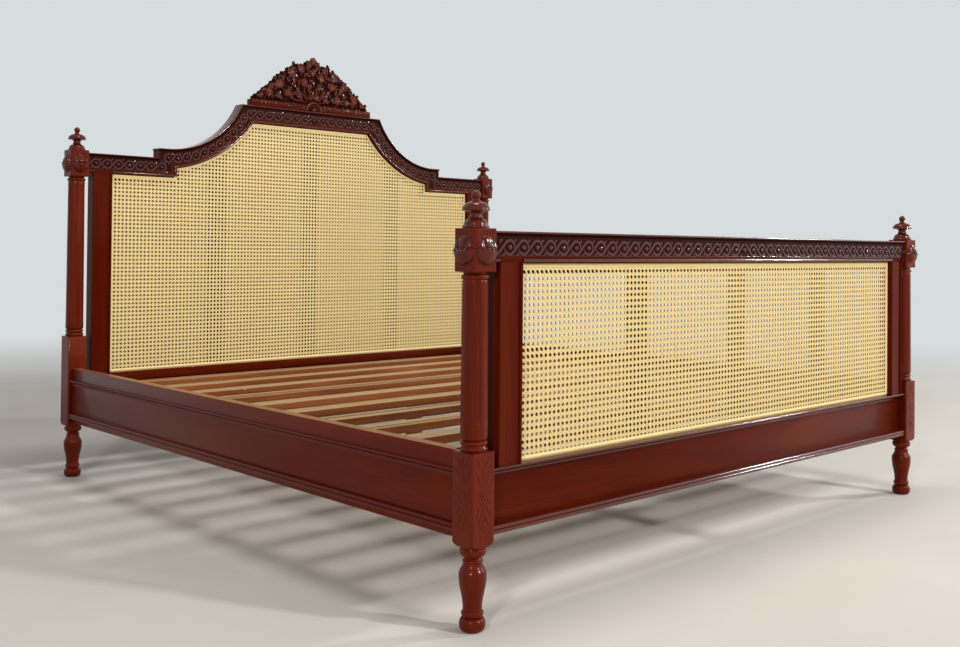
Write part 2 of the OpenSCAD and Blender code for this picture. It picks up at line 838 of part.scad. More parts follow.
// The headboard's cane, and a thin board behind its muntins
module head_cane_panel() {
  color(cane_colour) {
    arch_opening(0, half_l - cane_y - cane_t / 2, cane_t, head_rail_top);
    arch_opening(0, half_l - cane_y + cane_t / 2 + muntin_t, rear_board_t, head_rail_top);
  }
}

module head_cane_spline() {
  y = half_l - cane_y - cane_t / 2 - spline_t;
  color(cane_colour)
    difference() {
      arch_opening(0, y, spline_t, head_rail_top);
      arch_opening(spline_w, y - cut, spline_t + 2 * cut, head_rail_top + spline_w);
    }
}

module crest_plinth() {
  color(mahogany)
    translate([-plinth_w / 2, half_l - plinth_t / 2, arch_top])
      cube([plinth_w, plinth_t, plinth_h]);
}

// Leaf tips along one half of the crest's edge: distance from the centre, height, radius
crest_tips = [[272, 20, 16], [232, 50, 18], [197, 80, 19], [163, 115, 20], [125, 138, 22],
              [82, 158, 23], [40, 166, 24], [0, 177, 27]];
// Pierced eyes between the stems: distance from the centre, height, radius
crest_eyes = [[72, 120, 6], [13, 98, 6], [-101, 60, 6], [59, 76, 6], [80, 48, 5], [168, 62, 6],
              [-150, 42, 5]];

// Carved crest: a ground with leaf tips along its edge, pierced, with a fan and flowers
module crest_carving() {
  k = crest_h / 204;
  w = plinth_w / 594;
  g = (k + w) / 2;
  d = crest_t / 18;
  half_tips = [for (p = crest_tips) [p[0] * w, p[1] * k]];
  ground = concat([[plinth_w / 2, 0]], half_tips, [for (i = [len(half_tips) - 1 : -1 : 0])
                  [-half_tips[i][0], half_tips[i][1]]], [[-plinth_w / 2, 0]]);
  color(mahogany)
    translate([0, half_l + crest_t / 2, arch_top + plinth_h])
      rotate([90, 0, 0]) {
        difference() {
          union() {
            linear_extrude(crest_t)
              polygon(ground);
            for (s = [-1, 1], p = crest_tips)
              intersection() {
                translate([s * p[0] * w, p[1] * k, 0])
                  cylinder(h = crest_t, r = p[2] * g, $fn = 32);
                translate([-plinth_w / 2, 0, 0])
                  cube([plinth_w, crest_h + 20, crest_t]);
              }
          }
          for (p = crest_eyes)
            translate([p[0] * w, p[1] * k, -cut])
              cylinder(h = crest_t + 2 * cut, r = p[2] * g, $fn = 24);
        }
        translate([0, 0, crest_t]) {
          crest_fan(34 * g, d);
          for (p = [[0, 174, 24], [-106, 129, 21], [109, 129, 21], [-163, 69, 19], [140, 90, 19],
                    [-215, 38, 16], [215, 38, 16], [-40, 80, 15], [36, 118, 15]])
            translate([p[0] * w, p[1] * k, -0.5])
              crest_flower(p[2] * g, d);
        }
      }
}

// Half-round shell at the foot of the crest, its middle over the plinth: radius r, depth by the factor d
module crest_fan(r, d) {
  rim = r * 0.12;
  intersection() {
    translate([0, 0, -0.5])
      turned(concat([[r, 0]], [for (i = [0:5]) [r - rim + rim * cos(i * 36), (4 + 3 * sin(i * 36)) * d]],
                    [[r * 0.74, 2.5 * d], [r * 0.35, 5 * d], [r * 0.18, 8 * d]]));
    translate([-r, 0, -1])
      cube([2 * r, r, 20 * d]);
  }
}

// Domed flower on the Z axis: radius r, depth by the factor d
module crest_flower(r, d) {
  turned(concat([[r, 0]], [for (i = [0:5]) [r * (0.8 + 0.2 * cos(i * 18)), (3 + 3 * sin(i * 18)) * d]],
                [[r * 0.4, 4.5 * d]],
                [for (i = [1:4]) [r * 0.34 * cos(i * 22), (4.5 + 4 * sin(i * 22)) * d]]));
}

// Board along the bed on one side, between the posts' inner faces
module long_board(side, x0, x1, z, h) {
  translate([side > 0 ? x0 : -x1, -inner_y, z])
    cube([x1 - x0, 2 * inner_y, h]);
}

// Side rail with a recess in each end for its hook plate and a small notch over it
module side_rail(side) {
  color(mahogany)
    difference() {
      long_board(side, recess_x - rail_t, recess_x, rail_bottom, side_rail_top - rail_bottom);
      for (e = [-1, 1]) {
        translate([side * plate_x, e * (inner_y - notch_side / 2 + cut / 2), side_rail_top])
          cube([notch_side, notch_side + cut, notch_side], center = true);
        translate([side * plate_x, e * (inner_y - plate_t / 2 + cut / 2), plate_z])
          cube([plate_w, plate_t + cut, plate_h], center = true);
        for (z = plate_screw_z)
          translate([side * plate_x, e * inner_y, z])
            rotate([e * 90, 0, 0])
              cylinder(h = plate_screw_l + fit, d = screw_d + 2 * fit);
      }
      ledger_screw_bores(side, screw_d + 2 * fit);
    }
}
notch_side = 14;   // side of the notch in the end of a side rail's top edge

module side_rail_mouldings(side) {
  color(mahogany)
    for (part = [0, 1])
      translate([side * recess_x, -inner_y, part == 0 ? side_rail_top - side_band_h : rail_bottom + 14])
        mirror([side > 0 ? 0 : 1, 0, 0])
          translate([0, 2 * inner_y, 0])
            rotate([90, 0, 0])
              linear_extrude(2 * inner_y)
                if (part == 0)
                  cove_profile(side_moulding_out);
                else
                  double_bead_profile(side_moulding_out);
}

ledger_x = recess_x - rail_t;            // inner face of a side rail
ledger_screw_z = ledger_top - 22;        // height of the screws that hold a ledger to its rail
ledger_screw_l = ledger_side + 16;

// Shanks across a ledger into its side rail, midway between every second pair of slats
module ledger_screw_bores(side, d) {
  for (i = [2 : 2 : slat_count - 1])
    translate([side * (ledger_x - ledger_side), slat_y(i) + slat_pitch / 2, ledger_screw_z])
      rotate([0, side * 90, 0])
        cylinder(h = ledger_screw_l, d = d, $fn = 24);
}

// Ledger along the inside of a side rail, drilled for the slat screws
module slat_ledger(side) {
  color(slat_wood)
    difference() {
      translate([side > 0 ? ledger_x - ledger_side : -ledger_x, -inner_y + ledger_end,
                 ledger_top - ledger_side])
        cube([ledger_side, 2 * (inner_y - ledger_end), ledger_side]);
      for (i = [1 : slat_count])
        translate([side * slat_screw_x, slat_y(i), ledger_top - slat_screw_l])
          cylinder(h = slat_screw_l + cut, d = screw_d + 2 * fit);
      ledger_screw_bores(side, screw_d + 2 * fit);
      for (i = [2 : 2 : slat_count - 1])
        translate([side * (ledger_x - ledger_side - cut), slat_y(i) + slat_pitch / 2, ledger_screw_z])
          rotate([0, side * 90, 0])
            cylinder(h = screw_head_h + cut, d = screw_head_d + 2 * fit);
    }
}
ledger_end = 20;   // clear length at both ends of a ledger, for the hook plates
slat_screw_x = ledger_x - ledger_side / 2;

module slat(i) {
  half = ledger_x - slat_gap;
  color(slat_wood)
    difference() {
      translate([-half, slat_y(i) - slat_w / 2, ledger_top])
        cube([2 * half, slat_w, slat_t]);
      for (s = [-1, 1])
        translate([s * slat_screw_x, slat_y(i), 0]) {
          translate([0, 0, ledger_top - cut])
            cylinder(h = slat_t + 2 * cut, d = screw_d + 2 * fit);
          translate([0, 0, slat_top - screw_head_h])
            cylinder(h = screw_head_h + cut, d = screw_head_d + 2 * fit);
        }
    }
}
screw_head_h = 3;

module slat_and_ledger_screws() {
  color(steel)
    for (s = [-1, 1], i = [1 : slat_count])
      translate([s * slat_screw_x, slat_y(i), slat_top - screw_head_h]) {
        cylinder(h = screw_head_h, d = screw_head_d, $fn = 24);
        translate([0, 0, screw_head_h - slat_screw_l])
          cylinder(h = slat_screw_l - screw_head_h + 0.5, d = screw_d, $fn = 24);
      }
  color(steel)
    for (s = [-1, 1]) {
      ledger_screw_bores(s, screw_d);
      for (i = [2 : 2 : slat_count - 1])
        translate([s * (ledger_x - ledger_side), slat_y(i) + slat_pitch / 2, ledger_screw_z])
          rotate([0, s * 90, 0])
            cylinder(h = screw_head_h, d = screw_head_d, $fn = 24);
    }
}

// Beam along the middle of the bed, let into both bottom rails
module centre_beam() {
  y0 = -recess_y + rail_t - beam_tenon_l;
  y1 = half_l - rail_t / 2 + beam_tenon_l;
  color(slat_wood)
    difference() {
      translate([-beam_w / 2, y0, ledger_top - beam_h])
        cube([beam_w, y1 - y0, beam_h]);
      for (s = [-1, 1])
        translate([0, s * centre_leg_span / 2, ledger_top - beam_h - cut])
          cylinder(h = dowel_l + fit + cut, d = dowel_d + 2 * fit);
    }
}

module centre_legs() {
  h = ledger_top - beam_h;
  color(slat_wood)
    for (s = [-1, 1])
      translate([0, s * centre_leg_span / 2, 0]) {
        translate([-centre_leg_side / 2, -centre_leg_side / 2, 0])
          cube([centre_leg_side, centre_leg_side, h]);
        cylinder(h = h + dowel_l, d = dowel_d);
      }
}

// Middle height of the hook plates and the heights of their hooks and screws
plate_z = rail_bottom + 95;
hook_z = [plate_z - plate_h / 4, plate_z + plate_h / 4 - 6];
hook_h = 18;
hook_drop = 8;
plate_screw_z = [plate_z - plate_h / 2 + 8, plate_z + plate_h / 2 - 8];
plate_screw_l = 28;
plate_x = recess_x - rail_t / 2;

// Steel plate let into each rail end, with two hooks that drop into the post's plate
module rail_hook_plates() {
  color(steel)
    for (s = [-1, 1], e = [-1, 1])
      translate([s * plate_x, e * inner_y, 0])
        difference() {
          union() {
            translate([-plate_w / 2, e > 0 ? -plate_t : 0, plate_z - plate_h / 2])
              cube([plate_w, plate_t, plate_h]);
            for (z = hook_z) {
              translate([-1.5, e > 0 ? -cut : -hook_reach, z])
                cube([3, hook_reach + cut, hook_h - hook_drop]);
              translate([-1.5, e > 0 ? hook_reach - 6 : -hook_reach, z - hook_drop])
                cube([3, 6, hook_h]);
            }
          }
          for (z = plate_screw_z)
            translate([0, 0, z])
              rotate([e * 90, 0, 0])
                countersunk_hole();
        }
}

// Slotted steel plate let into each post
module post_hook_plates() {
  color(steel)
    for (s = [-1, 1], e = [-1, 1])
      translate([s * plate_x, e * inner_y, 0])
        difference() {
          translate([-plate_w / 2, e > 0 ? 0 : -plate_t, plate_z - plate_h / 2])
            cube([plate_w, plate_t, plate_h]);
          for (z = hook_z)
            translate([-2, e > 0 ? -cut : -plate_t - cut, z - fit])
              cube([4, plate_t + 2 * cut, hook_h + 2]);
          for (z = plate_screw_z)
            translate([0, 0, z])
              rotate([-e * 90, 0, 0])
                countersunk_hole();
        }
}

// Room in a post for its slotted plate, the hooks and the plate's screws
module plate_pocket(side, end) {
  translate([side * plate_x, end * inner_y, 0]) {
    translate([-plate_w / 2 - fit / 2, end > 0 ? -cut : -plate_t, plate_z - plate_h / 2 - fit])
      cube([plate_w + fit, plate_t + cut, plate_h + 2 * fit]);
    translate([-3, end > 0 ? -cut : -hook_reach - 2, hook_z[0] - hook_drop - 2])
      cube([6, hook_reach + 2 + cut, hook_z[1] - hook_z[0] + hook_h + hook_drop + 4]);
    for (z = plate_screw_z)
      translate([0, -end * cut, z])
        rotate([-end * 90, 0, 0])
          cylinder(h = plate_screw_l + cut, d = screw_d + 2 * fit);
  }
}

// Screws of both plates at each corner, their countersunk heads just under the plates' faces
module hook_plate_screws() {
  color(steel)
    for (s = [-1, 1], e = [-1, 1], d = [-1, 1], z = plate_screw_z)
      translate([s * plate_x, e * inner_y, z])
        rotate([e * d * 90, 0, 0]) {
          translate([0, 0, 0.2])
            cylinder(h = countersink_h, d1 = screw_head_d, d2 = screw_d, $fn = 24);
          translate([0, 0, 0.2])
            cylinder(h = plate_screw_l - 1, d = screw_d, $fn = 24);
        }
}

// Countersunk hole through a plate, from its face at 0 into +Z
countersink_h = 2;
module countersunk_hole() {
  translate([0, 0, -cut])
    cylinder(h = plate_t + 2 * cut, d = screw_d + 2 * fit, $fn = 24);
  translate([0, 0, -0.01])
    cylinder(h = countersink_h + 0.3, d1 = screw_head_d + 2 * fit, d2 = screw_d + 2 * fit, $fn = 24);
}

post(-1, -1);  // post_foot_left
post(1, -1);  // post_foot_right
post(-1, 1);  // post_head_left
post(1, 1);  // post_head_right
finial(-1, -1);  // finial_foot_left
finial(1, -1);  // finial_foot_right
finial(-1, 1);  // finial_head_left
finial(1, 1);  // finial_head_right
bosses(-1, -1);  // bosses_foot_left
bosses(1, -1);  // bosses_foot_right
bosses(-1, 1);  // bosses_head_left
bosses(1, 1);  // bosses_head_right
foot_top_rail();
foot_cap_moulding();
foot_scroll_band();
foot_bead_moulding();
stile(-1, -half_l, foot_rail_top, foot_opening_top);  // foot_stile_left
stile(1, -half_l, foot_rail_top, foot_opening_top);  // foot_stile_right
foot_bottom_rail();
foot_rail_mouldings();
foot_cane_panel();
foot_cane_spline();
head_shoulder_rail(-1);  // head_shoulder_rail_left
head_shoulder_rail(1);  // head_shoulder_rail_right
head_sweep_rail(-1);  // head_sweep_rail_left
head_sweep_rail(1);  // head_sweep_rail_right
head_top_rail();
head_cap_moulding();
head_scroll_band();
head_bead_moulding();
stile(-1, half_l, head_rail_top, head_opening_top);  // head_stile_left
stile(1, half_l, head_rail_top, head_opening_top);  // head_stile_right
head_bottom_rail();
head_cane_panel();
head_cane_spline();
crest_plinth();
crest_carving();
side_rail(-1);  // side_rail_left
side_rail(1);  // side_rail_right
side_rail_mouldings(-1);  // side_rail_mouldings_left
side_rail_mouldings(1);  // side_rail_mouldings_right
slat_ledger(-1);  // slat_ledger_left
slat_ledger(1);  // slat_ledger_right
slat(1);  // slat_01
slat(2);  // slat_02
slat(3);  // slat_03
slat(4);  // slat_04
slat(5);  // slat_05
slat(6);  // slat_06
slat(7);  // slat_07
slat(8);  // slat_08
slat(9);  // slat_09
slat(10);  // slat_10
slat(11);  // slat_11
centre_beam();
centre_legs();
rail_hook_plates();
post_hook_plates();
hook_plate_screws();
slat_and_ledger_screws();
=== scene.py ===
# Carved mahogany bed with woven cane in its headboard and footboard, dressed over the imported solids.
# Lengths are in millimetres until a piece is finished, where they become metres.
import math

import bmesh
import bpy
import numpy as np
from mathutils import Matrix, Vector


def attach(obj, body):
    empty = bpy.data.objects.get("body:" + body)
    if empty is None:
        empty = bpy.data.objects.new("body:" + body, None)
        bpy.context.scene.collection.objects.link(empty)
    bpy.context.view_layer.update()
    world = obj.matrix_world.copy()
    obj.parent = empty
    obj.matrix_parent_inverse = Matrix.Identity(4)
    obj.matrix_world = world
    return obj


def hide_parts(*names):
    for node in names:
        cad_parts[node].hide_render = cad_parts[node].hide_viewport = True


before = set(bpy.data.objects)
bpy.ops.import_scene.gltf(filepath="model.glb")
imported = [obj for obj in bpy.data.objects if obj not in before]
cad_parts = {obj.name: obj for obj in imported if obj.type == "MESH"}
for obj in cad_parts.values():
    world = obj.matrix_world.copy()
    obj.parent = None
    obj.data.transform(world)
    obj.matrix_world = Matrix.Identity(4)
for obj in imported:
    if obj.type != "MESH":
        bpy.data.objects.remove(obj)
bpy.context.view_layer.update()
collection = bpy.context.scene.collection


# The camera stands at the photographer's place, low and to the left of the bed's foot.
# Its lens and place come from a pinhole fit to the posts, and the shift keeps the uprights upright.
camera_data = bpy.data.cameras.new("photo_camera")
camera_data.sensor_fit = "HORIZONTAL"
camera_data.sensor_width = 36.0
camera_data.lens = 40.58
camera_data.shift_y = -0.0922
camera_data.clip_end = 60.0
camera = bpy.data.objects.new("photo_camera", camera_data)
collection.objects.link(camera)
yaw, pitch, roll = (math.radians(a) for a in (43.25, 0.764, 0.534))
forward = Vector((math.sin(yaw) * math.cos(pitch), math.cos(yaw) * math.cos(pitch), math.sin(pitch)))
right = Vector((math.cos(yaw), -math.sin(yaw), 0.0))
upward = right.cross(forward)
across = right * math.cos(roll) + upward * math.sin(roll)
above = upward * math.cos(roll) - right * math.sin(roll)
turn_to_view = Matrix((across, above, -forward)).transposed().to_4x4()
camera.matrix_world = Matrix.Translation((-2.5844, -2.7453, 0.8163)) @ turn_to_view
bpy.context.scene.camera = camera


# The studio: a pale floor that keeps the bed's shadow, and an even white room round it.
# A main lamp stands to the right of the camera, a weaker one to its left, a third skims the front from
# the far right and one shines from above.
def feed(tree, node, inputs):
    """Gives inputs of a node their values, or links them where the value is a socket."""
    for key, value in inputs.items():
        if isinstance(value, bpy.types.NodeSocket):
            tree.links.new(value, node.inputs[key])
        else:
            node.inputs[key].default_value = value
    return node


def add(tree, kind, inputs, **settings):
    """A new node with its settings and inputs."""
    node = tree.nodes.new(kind)
    for key, value in settings.items():
        setattr(node, key, value)
    return feed(tree, node, inputs)


def paint(name):
    """A new material, its node tree, its main shader and its object coordinates."""
    made = bpy.data.materials.new(name)
    made.use_nodes = True
    tree = made.node_tree
    return made, tree, tree.nodes["Principled BSDF"], tree.nodes.new("ShaderNodeTexCoord").outputs["Object"]


def noise(tree, where, scale, detail, distortion=0.0):
    """Socket of a noise from 0 to 1."""
    return add(tree, "ShaderNodeTexNoise", {"Vector": where, "Scale": scale, "Detail": detail,
                                            "Distortion": distortion}).outputs["Fac"]


def ramp(tree, value, *stops):
    """Socket of the colour at a value, between stops of a position and a colour."""
    node = add(tree, "ShaderNodeValToRGB", {"Fac": value})
    elements = node.color_ramp.elements
    for element, (position, colour) in zip(elements, (stops[0], stops[-1])):
        element.position = position
        element.color = (*colour, 1)
    for position, colour in stops[1:-1]:
        elements.new(position).color = (*colour, 1)
    return node.outputs["Color"]


floor_mesh = bpy.data.meshes.new("studio_floor")
floor_mesh.from_pydata([(-30, -30, 0), (30, -30, 0), (30, 30, 0), (-30, 30, 0)], [], [(0, 1, 2, 3)])
floor = bpy.data.objects.new("studio_floor", floor_mesh)
collection.objects.link(floor)
floor_paint, floor_tree, floor_shader, floor_place = paint("pale_floor")
floor_tone = ramp(floor_tree, noise(floor_tree, floor_place, 1.3, 6.0), (0.3, (0.66, 0.62, 0.56)),
                  (0.7, (0.72, 0.68, 0.62)))
feed(floor_tree, floor_shader, {"Roughness": 0.7, "Specular IOR Level": 0.2, "Base Color": floor_tone})
floor_mesh.materials.append(floor_paint)


def seen_ray(tree):
    """A socket that is 1 for rays that show the background: seen, mirrored or let through."""
    ray = tree.nodes.new("ShaderNodeLightPath").outputs
    share = ray["Is Camera Ray"]
    for kind in ("Is Glossy Ray", "Is Transmission Ray"):
        either = add(tree, "ShaderNodeMath", {0: share, 1: ray[kind]}, operation="ADD", use_clamp=True)
        share = either.outputs[0]
    return share


# Far from the bed the floor fades into the white of the room
seen_white = (0.68, 0.715, 0.725, 1)
reach = add(floor_tree, "ShaderNodeVectorMath", {0: floor_place}, operation="LENGTH").outputs["Value"]
fade = add(floor_tree, "ShaderNodeMapRange", {"Value": reach, "From Min": 2.6, "From Max": 7.5},
           interpolation_type="SMOOTHSTEP").outputs["Result"]
share = add(floor_tree, "ShaderNodeMath", {0: fade, 1: seen_ray(floor_tree)}, operation="MULTIPLY").outputs[0]
glow = add(floor_tree, "ShaderNodeEmission", {"Color": seen_white}).outputs[0]
faded = add(floor_tree, "ShaderNodeMixShader", {0: share, 1: floor_shader.outputs[0], 2: glow}).outputs[0]
feed(floor_tree, floor_tree.nodes["Material Output"], {"Surface": faded})

room = bpy.data.worlds.new("white_room")
bpy.context.scene.world = room
room.use_nodes = True
room_tree = room.node_tree
glow = feed(room_tree, room_tree.nodes["Background"], {"Color": (1.0, 0.985, 0.96, 1), "Strength": 0.26})
seen = add(room_tree, "ShaderNodeBackground", {"Color": seen_white, "Strength": 1.0})
room_mix = add(room_tree, "ShaderNodeMixShader", {
    0: seen_ray(room_tree), 1: glow.outputs[0], 2: seen.outputs[0]})
feed(room_tree, room_tree.nodes["World Output"], {"Surface": room_mix.outputs[0]})

for lamp_name, place, aim, size, power in (
        ("key_lamp", (2.3, -7.8, 4.6), (0.0, 0.0, 0.6), 0.5, 350.0),
        ("fill_lamp", (-5.0, -3.5, 2.6), (0.0, 0.0, 0.5), 0.45, 102.0),
        ("rim_lamp", (6.9, -4.0, 3.6), (0.0, -0.5, 0.8), 0.45, 270.0),
        ("top_lamp", (-0.5, -0.6, 4.6), (0.0, 0.2, 0.0), 1.1, 58.0)):
    lamp_data = bpy.data.lights.new(lamp_name, "AREA")
    lamp_data.size = size
    lamp_data.energy = power
    lamp = bpy.data.objects.new(lamp_name, lamp_data)
    lamp.rotation_mode = "QUATERNION"
    lamp.rotation_quaternion = (Vector(aim) - Vector(place)).to_track_quat("-Z", "Y")
    lamp.location = place
    collection.objects.link(lamp)
bpy.context.scene.view_settings.view_transform = "Standard"


# Four posts of solid mahogany, each turned and cut from one length: a turned foot, a square lower
# block, a shaft with rings and eight flutes, and a square top block that takes the rails.
axis_x, axis_y = 995.0, 1042.5
half_block = 33.0
foot_post = (384.0, 768.0)
head_post = (496.0, 1062.0)
top_block_h = 94.0
sides = (("left", -1), ("right", 1))


def mixed(tree, kind, share, a, b):
    """Socket of a mix of two numbers or two colours."""
    return add(tree, "ShaderNodeMix", {"Factor": share, "A": a, "B": b}, data_type=kind).outputs["Result"]


def spread(tree, value, low, high, from_low=0.0, from_high=1.0):
    """Socket of a value carried from one range to another."""
    return add(tree, "ShaderNodeMapRange", {"Value": value, "From Min": from_low, "From Max": from_high,
                                            "To Min": low, "To Max": high}).outputs["Result"]


def stretched(tree, where, scale):
    """Socket of coordinates scaled along each axis."""
    return add(tree, "ShaderNodeMapping", {"Vector": where, "Scale": scale}).outputs["Vector"]


def bumped(tree, height, strength, distance):
    """Socket of a normal that follows a height."""
    return add(tree, "ShaderNodeBump", {"Height": height, "Strength": strength,
                                        "Distance": distance}).outputs["Normal"]


def mahogany(name, grain, deep=(0.062, 0.0042, 0.0004), red=(0.103, 0.0068, 0.0006),
             light=(0.15, 0.0145, 0.0011), coat=0.2, coat_roughness=0.06, under_gloss=0.16):
    """Lacquered mahogany, its grain along one axis; a point attribute darkens and dulls carved hollows,
    partly as dark stain and partly as painted shade.
    """
    wood, tree, shader, where = paint(name)

    def streaks(along, over, detail, warp):
        scale = [along if a == grain else over for a in "XYZ"]
        return noise(tree, stretched(tree, where, scale), 1.0, detail, warp)

    figure, grain_lines = streaks(0.9, 9.0, 4.0, 1.2), streaks(9.0, 260.0, 3.0, 0.4)
    pores, brush = streaks(28.0, 900.0, 2.0, 0.0), noise(tree, where, 46.0, 2.0)
    tone = mixed(tree, "FLOAT", 0.34, figure, grain_lines)
    colour = ramp(tree, tone, (0.3, deep), (0.5, red), (0.72, light))
    stain_and_shade = add(tree, "ShaderNodeAttribute", {}, attribute_name="stain_and_shade").outputs["Fac"]
    # Where that attribute is high the colour goes near black: partly stain, partly painted shade in the
    # hollows
    feed(tree, shader, {
        "Base Color": mixed(tree, "RGBA", stain_and_shade, colour, (0.013, 0.0018, 0.0009, 1)),
        "Roughness": spread(tree, grain_lines, 0.3, 0.42, 0.35, 0.7), "IOR": 1.48,
        "Specular IOR Level": spread(tree, stain_and_shade, under_gloss, 0.0), "Specular Tint": (1.0, 0.3, 0.12, 1),
        "Normal": bumped(tree, pores, 0.14, 0.0003), "Coat Weight": spread(tree, stain_and_shade, coat, 0.0),
        "Coat Roughness": coat_roughness, "Coat Normal": bumped(tree, brush, 0.12, 0.0012)})
    return wood


upright_mahogany = mahogany("mahogany_upright_grain", "Z")


def skin(rings, looped=False):
    """Quads between closed rings of points, with a flat cap at both ends unless the rings come round."""
    count = len(rings[0])
    points = np.concatenate([np.asarray(r, float) for r in rings])
    faces = []
    for i in range(len(rings) if looped else len(rings) - 1):
        a, b = i * count, (i + 1) % len(rings) * count
        for j in range(count):
            k = (j + 1) % count
            faces.append((a + j, a + k, b + k, b + j))
    if not looped:
        faces.append(tuple(range(count))[::-1])
        faces.append(tuple(range((len(rings) - 1) * count, len(rings) * count)))
    return points, faces


def gather(parts):
    """Several point and face lists as one."""
    points, faces, start = [], [], 0
    for part_points, part_faces in parts:
        points.append(np.asarray(part_points, float))
        faces += [tuple(i + start for i in f) for f in part_faces]
        start += len(part_points)
    return np.concatenate(points), faces


def finished(name, shape, material, stands_for=(), sharp=38.0, stain_and_shade=None):
    """A piece of the bed from points in millimetres: outward normals, soft curves, crisp edges."""
    points, faces = shape
    mesh = bpy.data.meshes.new(name)
    mesh.from_pydata((np.asarray(points) * 0.001).tolist(), [], faces)
    # The darkening of hollows, partly stain and partly painted shade, rides on the mesh as a point attribute
    if stain_and_shade is not None:
        layer = mesh.attributes.new("stain_and_shade", "FLOAT", "POINT")
        layer.data.foreach_set("value", np.asarray(stain_and_shade, np.float32))
    outward = bmesh.new()
    outward.from_mesh(mesh)
    bmesh.ops.recalc_face_normals(outward, faces=outward.faces)
    outward.to_mesh(mesh)
    outward.free()
    return dressed(name, mesh, material, stands_for, sharp)


def dressed(name, mesh, material, stands_for=(), sharp=38.0):
    """Shading, material, body and the CAD nodes that a finished mesh stands for."""
    mesh.polygons.foreach_set("use_smooth", [True] * len(mesh.polygons))
    mesh.set_sharp_from_angle(angle=math.radians(sharp))
    mesh.materials.clear()
    mesh.materials.append(material)
    piece = bpy.data.objects.new(name, mesh)
    collection.objects.link(piece)
    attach(piece, "root")
    if stands_for:
        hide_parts(*stands_for)
    return piece


def bead(z0, z1, r, out, n=10):
    """Turned half-round between two heights."""
    return [(r + out * math.sin(math.pi * i / n), z0 + (z1 - z0) * (1 - math.cos(math.pi * i / n)) / 2)
            for i in range(n + 1)]


def swell(z0, r0, z1, r1, n=9):
    """Turned swell or hollow between two radii."""
    return [(r0 + (r1 - r0) * (1 - math.cos(math.pi * i / n)) / 2, z0 + (z1 - z0) * i / n)
            for i in range(n + 1)]


corner_turns = [45 + 90 * k + d for k in range(4) for d in (-3.6, -2.4, -1.2, 1.2, 2.4, 3.6)]
turns = np.radians(sorted({round(float(a), 3) for a in [*np.arange(0, 360, 2.25), *corner_turns]}))


def square_radius(half, arris):
    """Distance to a square with rounded corners, in each direction round the post."""
    c, s = np.abs(np.cos(turns)), np.abs(np.sin(turns))
    flat = half / np.maximum(c, s)
    inner = half - arris
    along = inner * (c + s)
    round_part = along + np.sqrt(np.maximum(along ** 2 - 2 * inner ** 2 + arris ** 2, 0))
    return np.where(np.minimum(c, s) * flat > inner, round_part, flat)


def fluted_radius(z, r, low, high):
    """Shaft's radius in each direction at one height, with eight round-ended flutes."""
    width, depth = 9.0, 2.0
    tool = (width ** 2 / 4 + depth ** 2) / (2 * depth)
    off = turns % math.radians(45) - math.radians(22.5)
    side = r * np.sin(off)
    past = max(low - z, z - high, 0.0)
    cut = depth - tool + np.sqrt(np.maximum(tool ** 2 - side ** 2 - past ** 2, 0))
    return r - np.maximum(cut, 0)


def post(name, side, end):
    """One post from its turned foot to its top block, in rings."""
    block_top, top_block = foot_post if end < 0 else head_post
    turned_h = 182
    plain = np.ones(len(turns))
    rings = [(plain * r, z) for r, z in (
        [(19, 0)] + bead(0, 31, 19, 10) + [(21.5, 32)] + bead(33, 44, 21.5, 3) + swell(48, 21, 118, 30.5)
        + swell(122, 30.5, 147, 21) + bead(147, 153, 20, 2.5) + swell(156, 18, 163, 26.5, 6)
        + bead(164, 177, 26.5, 2.5) + [(25.5, 179), (25.5, turned_h)])]
    square = square_radius(half_block, 5.0)
    for t in (0, 0.08, 0.2, 0.36, 0.55, 0.76, 1):
        rings.append((np.minimum(square, 29.0 + 17.0 * math.sqrt(1 - (1 - t) ** 2)), turned_h + 14 * t))
    eased_square = square_radius(half_block - 1.6, 4.6)
    rings += [(square, block_top - 1.8), (square_radius(half_block - 0.5, 4.8), block_top - 0.6),
              (eased_square, block_top)]
    rings += [(plain * r, z) for r, z in (
        [(27.5, block_top)] + bead(block_top + 1, block_top + 10, 27.5, 3) + [(26.5, block_top + 12)]
        + bead(block_top + 14, block_top + 23, 27, 3) + swell(block_top + 24, 26, block_top + 28, 30, 4))]
    low, high = block_top + 64, top_block - 36
    for z in ([block_top + 45] + [low - d for d in (5, 4.4, 3.6, 2.6, 1.4, 0)] + [(low + high) / 2]
              + [high + d for d in (0, 1.4, 2.6, 3.6, 4.4, 5)]):
        taper = 30 - 2 * (z - block_top - 28) / (top_block - 48 - block_top)
        rings.append((fluted_radius(z, taper, low, high), z))
    rings += [(plain * r, z) for r, z in (
        swell(top_block - 20, 28, top_block - 17, 27, 3) + bead(top_block - 16, top_block - 6, 27, 3.5)
        + [(25.5, top_block - 4), (27.5, top_block)])]
    rings += [(eased_square, top_block), (square, top_block + 1.2), (square, top_block + top_block_h - 1.2),
              (eased_square, top_block + top_block_h)]
    centre = (side * axis_x, end * axis_y)
    return finished(name, skin([np.stack([centre[0] + r * np.cos(turns), centre[1] + r * np.sin(turns),
                                          np.full(len(turns), z)], axis=1) for r, z in rings]),
                    upright_mahogany, (name,))


for side_word, side in sides:
    post(f"post_foot_{side_word}", side, -1)
    post(f"post_head_{side_word}", side, 1)


# Four turned finials of mahogany, glued by a dowel into the tops of the posts: a flared base,
# a small ring, a broad mushroom cap and a round knob.
def cosd(degrees):
    return math.cos(math.radians(degrees))


def sind(degrees):
    return math.sin(math.radians(degrees))


def turned(profile, segments=64):
    """Solid of revolution on the Z axis from radii and heights."""
    angle = np.arange(segments) * 2 * math.pi / segments
    return skin([np.stack([r * np.cos(angle), r * np.sin(angle), np.full(segments, z)], axis=1)
                 for r, z in profile])


